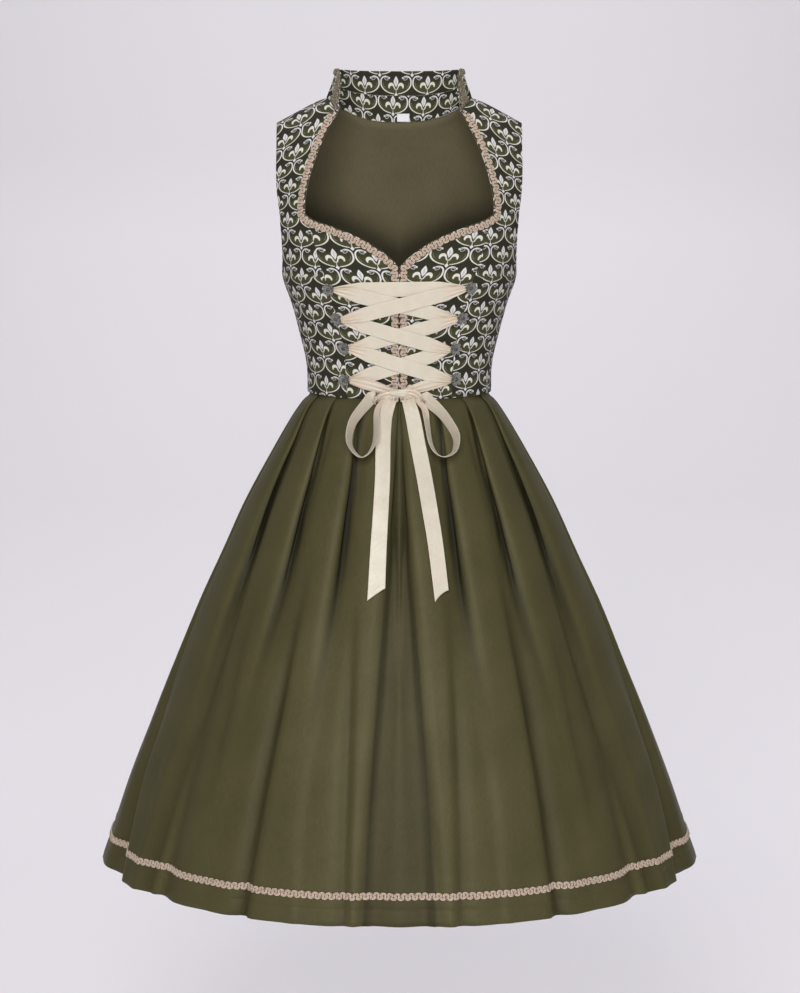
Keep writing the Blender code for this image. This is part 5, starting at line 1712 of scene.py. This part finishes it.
class DRESS_OT_lacing(bpy.types.Operator):
    """Satin ribbon laced between the rosettes"""
    bl_idname = "dress.lacing"
    bl_label = "Ribbon lacing"

    def execute(self, context):
        finish = finish_of("ivory_satin", ivory_satin)
        for seed, (label, *course) in enumerate(LACING):
            ribbon(f"ribbon_{label}", self.rows(*course), 90, f"lacing_{label}", finish, seed=seed)
        for label, rows, seed in (("left", LOWEST_LEFT, 8), ("right", LOWEST_RIGHT, 9)):
            ribbon(f"ribbon_lowest_{label}", rows, 60, f"lacing_4_{label}", finish, seed=seed)
        return {"FINISHED"}

    def rows(self, start, start_side, end, end_side, lift_start, lift_end, change):
        """A stretch from hook to hook, drawn together at both."""
        x0, z0 = self.hook(start, start_side)
        x1, z1 = self.hook(end, end_side)
        rows = []
        for share in spread(((0, 1, 26),)):
            width = mix(GATHERED_WIDTH, RIBBON_WIDTH, min(min(share, 1 - share) / LACING_SPREAD, 1.0) ** 0.8)
            lift = mix(lift_start, lift_end, ease((share - change) / 0.16 + 0.5))
            rows.append((mix(x0, x1, share), mix(z0, z1, share), lift, width, 0))
        return rows

    def hook(self, row, side):
        x, height = hook_middle(row, side)
        return x - side * HOOK_REACH, height


class DRESS_OT_bow(bpy.types.Operator):
    """Bow of the lacing ribbon: two loops, two tails and the knot"""
    bl_idname = "dress.bow"
    bl_label = "Bow"

    def execute(self, context):
        finish = finish_of("ivory_satin", ivory_satin)
        for label, rows, seed in (("left", LOOP_LEFT, 10), ("right", LOOP_RIGHT, 11)):
            ribbon(f"bow_ribbon_loop_{label}", rows, 150, f"bow_loop_{label}", finish, seed=seed,
                   held="folded", turning=0.2)
        for label, rows, cut, seed in (("left", TAIL_LEFT, TAIL_LEFT_CUT, 12),
                                       ("right", TAIL_RIGHT, TAIL_RIGHT_CUT, 13)):
            ribbon(f"bow_ribbon_tail_{label}", rows, 130, f"bow_tail_{label}", finish, *cut, 2, seed,
                   "hung")
        self.knot(finish)
        return {"FINISHED"}

    def knot(self, finish):
        """The band that holds the bow: a rolled cushion of ribbon with slanted folds."""
        x, height, lift = KNOT
        middle = dress_front(x, height) + outward(x, height) * lift
        rows, columns = 49, 72
        polar = np.linspace(0, math.pi, rows)[:, None]
        angle = np.linspace(0, math.tau, columns, endpoint=False)
        along = np.cos(polar) + 0 * angle
        ring = np.sin(polar) ** 0.62
        fold = (1 + 0.10 * np.sin(3 * angle + 2.6 * along) * np.sin(polar)
                + 0.05 * np.sin(7 * angle - 3 * along))
        waist = 1 - 0.10 * bell(along, 0.35)
        points = np.stack([along * KNOT_SIZE[0] / 2, ring * fold * waist * np.cos(angle) * KNOT_SIZE[1] / 2,
                           ring * fold * waist * np.sin(angle) * KNOT_SIZE[2] / 2], -1)
        faces = [tuple(quad) for quad in grid_quads(rows, columns, ring=True)]
        fabric = np.stack(np.broadcast_arrays(along * 13, angle * 6), -1).reshape(-1, 2)
        piece = new_piece("bow_ribbon_knot", (points + middle).reshape(-1, 3), faces, [finish], fabric)
        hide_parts("bow_knot")


class DRESS_OT_rosettes(bpy.types.Operator):
    """Eight filigree rosettes that carry the lacing"""
    bl_idname = "dress.rosettes"
    bl_label = "Rosettes"

    def execute(self, context):
        finishes = [finish_of("antique_silver", antique_silver), finish_of("tarnish", tarnish)]
        points, faces, finish_of_face = self.flower()
        for side, label in SIDES:
            for row in range(len(HOOKS)):
                x, height = hook_middle(row, side)
                normal = outward(x, height)
                turn = Vector(normal).to_track_quat("Z", "Y").to_matrix()
                place = dress_front(x, height) + normal * ROSETTE_GAP
                piece = new_piece(f"filigree_{label}_{row + 1}", points @ np.array(turn).T + place, faces,
                                  finishes, finish_of_face=finish_of_face)
                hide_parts(f"rosette_{label}_{row + 1}")
        return {"FINISHED"}

    def flower(self):
        """A scalloped disc with wire petals, a ring of beads and a boss."""
        points, faces, finish_of_face = [], [], []

        def add(grid, finish=0):
            start = sum(len(p) for p in points)
            rows, columns = grid.shape[:2]
            points.append(grid.reshape(-1, 3))
            quads = grid_quads(rows, columns, ring=True)
            faces.extend(tuple(quad + start) for quad in quads)
            finish_of_face.extend([finish] * len(quads))
        angle = np.linspace(0, math.tau, 84, endpoint=False)
        scallop = 1 + 0.055 * np.cos(7 * angle)
        disc = [(0.05, 0.0), (8.2, 0.0), (8.55, 0.35), (8.2, 0.7), (6.6, 0.55), (5.9, 0.9), (5.2, 0.6),
                (3.4, 0.7), (2.7, 1.5), (2.5, 2.5), (1.9, 3.2), (1.0, 3.6), (0.05, 3.7)]
        grid = np.array([[(r * (s if r > 4 else 1) * math.cos(a), r * (s if r > 4 else 1) * math.sin(a), z)
                          for a, s in zip(angle, scallop)] for r, z in disc])
        add(grid, 1)
        for petal in range(7):
            middle = math.tau * petal / 7
            loops = ((6.4, 2.5, 2.0, 0.5, 1.7), (6.2, 1.1, 0.8, 0.38, 2.2), (3.2, 1.5, 1.3, 0.42, 2.6))
            for reach, long, wide, wire, height in loops:
                t = np.linspace(0, math.tau, 29)
                across, out = wide * np.sin(t), reach + long * np.cos(t)
                line = np.stack([out * math.cos(middle) - across * math.sin(middle),
                                 out * math.sin(middle) + across * math.cos(middle),
                                 height + 0.35 * np.cos(t)], -1)
                add(self.wire(line, wire))
        for bead in range(14):
            at = math.tau * (bead + 0.5) / 14
            add(self.bead((4.0 * math.cos(at), 4.0 * math.sin(at), 1.45), 0.62))
        return np.concatenate(points), faces, finish_of_face

    def wire(self, line, radius):
        heading = unit(np.gradient(line, axis=0))
        side = unit(np.cross(heading, (0, 0, 1)))
        up = np.cross(side, heading)
        angle = np.linspace(0, math.tau, 6, endpoint=False)[:, None]
        return line[:, None] + radius * (np.cos(angle) * side[:, None] + np.sin(angle) * up[:, None])

    def bead(self, middle, radius):
        polar = np.linspace(0.02, math.pi - 0.02, 7)[:, None]
        angle = np.linspace(0, math.tau, 8, endpoint=False)
        ball = np.stack(np.broadcast_arrays(np.sin(polar) * np.cos(angle), np.sin(polar) * np.sin(angle),
                                            np.cos(polar)), -1)
        return np.array(middle) + ball * radius


class DRESS_OT_stage(bpy.types.Operator):
    """Pale floor and backdrop, soft lights and the camera"""
    bl_idname = "dress.stage"
    bl_label = "Stage"

    def execute(self, context):
        self.backdrop()
        self.lights()
        camera = bpy.data.objects.new("camera", bpy.data.cameras.new("camera"))
        camera.data.lens = CAMERA_LENS
        camera.data.sensor_width = 36
        camera.location = CAMERA_PLACE
        camera.rotation_euler = (math.radians(90 - CAMERA_PITCH), 0, 0)
        context.scene.collection.objects.link(camera)
        context.scene.camera = camera
        return {"FINISHED"}

    def backdrop(self):
        """One sheet: the floor, a wide curve and the wall behind."""
        profile = [(STAGE_FRONT, FLOOR), (WALL_FOOT, FLOOR)]
        profile += [(WALL_FOOT + WALL_CURVE * math.sin(a), FLOOR + WALL_CURVE * (1 - math.cos(a)))
                    for a in np.linspace(0, math.pi / 2, 24)]
        profile += [(WALL_FOOT + WALL_CURVE, WALL_TOP)]
        points = [(x, y, z) for y, z in profile for x in (-STAGE_HALF_WIDTH, STAGE_HALF_WIDTH)]
        mesh = bpy.data.meshes.new("backdrop")
        mesh.from_pydata(points, [], grid_quads(len(profile), 2).tolist())
        mesh.materials.append(finish_of("pale_studio", pale_studio))
        mesh.shade_smooth()
        sheet = bpy.data.objects.new("backdrop", mesh)
        bpy.context.scene.collection.objects.link(sheet)

    def lights(self):
        for label, place, target, size, power, colour in LIGHTS:
            lamp = bpy.data.lights.new(label, "AREA")
            lamp.shape = "RECTANGLE"
            lamp.size, lamp.size_y = size
            lamp.energy = power
            lamp.color = colour
            light = bpy.data.objects.new(label, lamp)
            light.location = place
            facing = Vector(target) - Vector(place)
            light.rotation_euler = facing.to_track_quat("-Z", "Y").to_euler()
            bpy.context.scene.collection.objects.link(light)
        world = bpy.data.worlds.new("studio_air")
        world.use_nodes = True
        air = world.node_tree.nodes["Background"]
        air.inputs["Color"].default_value = (*WORLD_COLOUR, 1.0)
        air.inputs["Strength"].default_value = WORLD_STRENGTH
        bpy.context.scene.world = world


OPERATORS = (DRESS_OT_front_panels, DRESS_OT_back_panel, DRESS_OT_lining, DRESS_OT_collar,
             DRESS_OT_neck_tab, DRESS_OT_skirt, DRESS_OT_hem_braid, DRESS_OT_neckline_braid,
             DRESS_OT_collar_braid, DRESS_OT_rosettes, DRESS_OT_lacing, DRESS_OT_bow, DRESS_OT_stage)


class DRESS_PT_panel(bpy.types.Panel):
    """Sidebar list of the dress's pieces"""
    bl_idname = "DRESS_PT_panel"
    bl_label = "Dirndl dress"
    bl_space_type = "VIEW_3D"
    bl_region_type = "UI"
    bl_category = "Dress"

    def draw(self, context):
        layout = self.layout
        settings = context.scene.dress
        for label in settings.bl_rna.properties.keys():
            if label not in ("rna_type", "name"):
                layout.prop(settings, label)
        for operator in OPERATORS:
            layout.operator(operator.bl_idname)


CLASSES = (DressSettings,) + OPERATORS + (DRESS_PT_panel,)


def register():
    for made in CLASSES:
        bpy.utils.register_class(made)
    bpy.types.Scene.dress = bpy.props.PointerProperty(type=DressSettings)


def unregister():
    del bpy.types.Scene.dress
    for made in reversed(CLASSES):
        bpy.utils.unregister_class(made)


def corners(box):
    return [list(corner) for corner in box]


def main():
    register()
    bpy.context.scene.view_settings.view_transform = "Standard"
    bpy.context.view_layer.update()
    for operator in OPERATORS:
        group, name = operator.bl_idname.split(".")
        getattr(getattr(bpy.ops, group), name)()


if __name__ == "__main__":
    main()
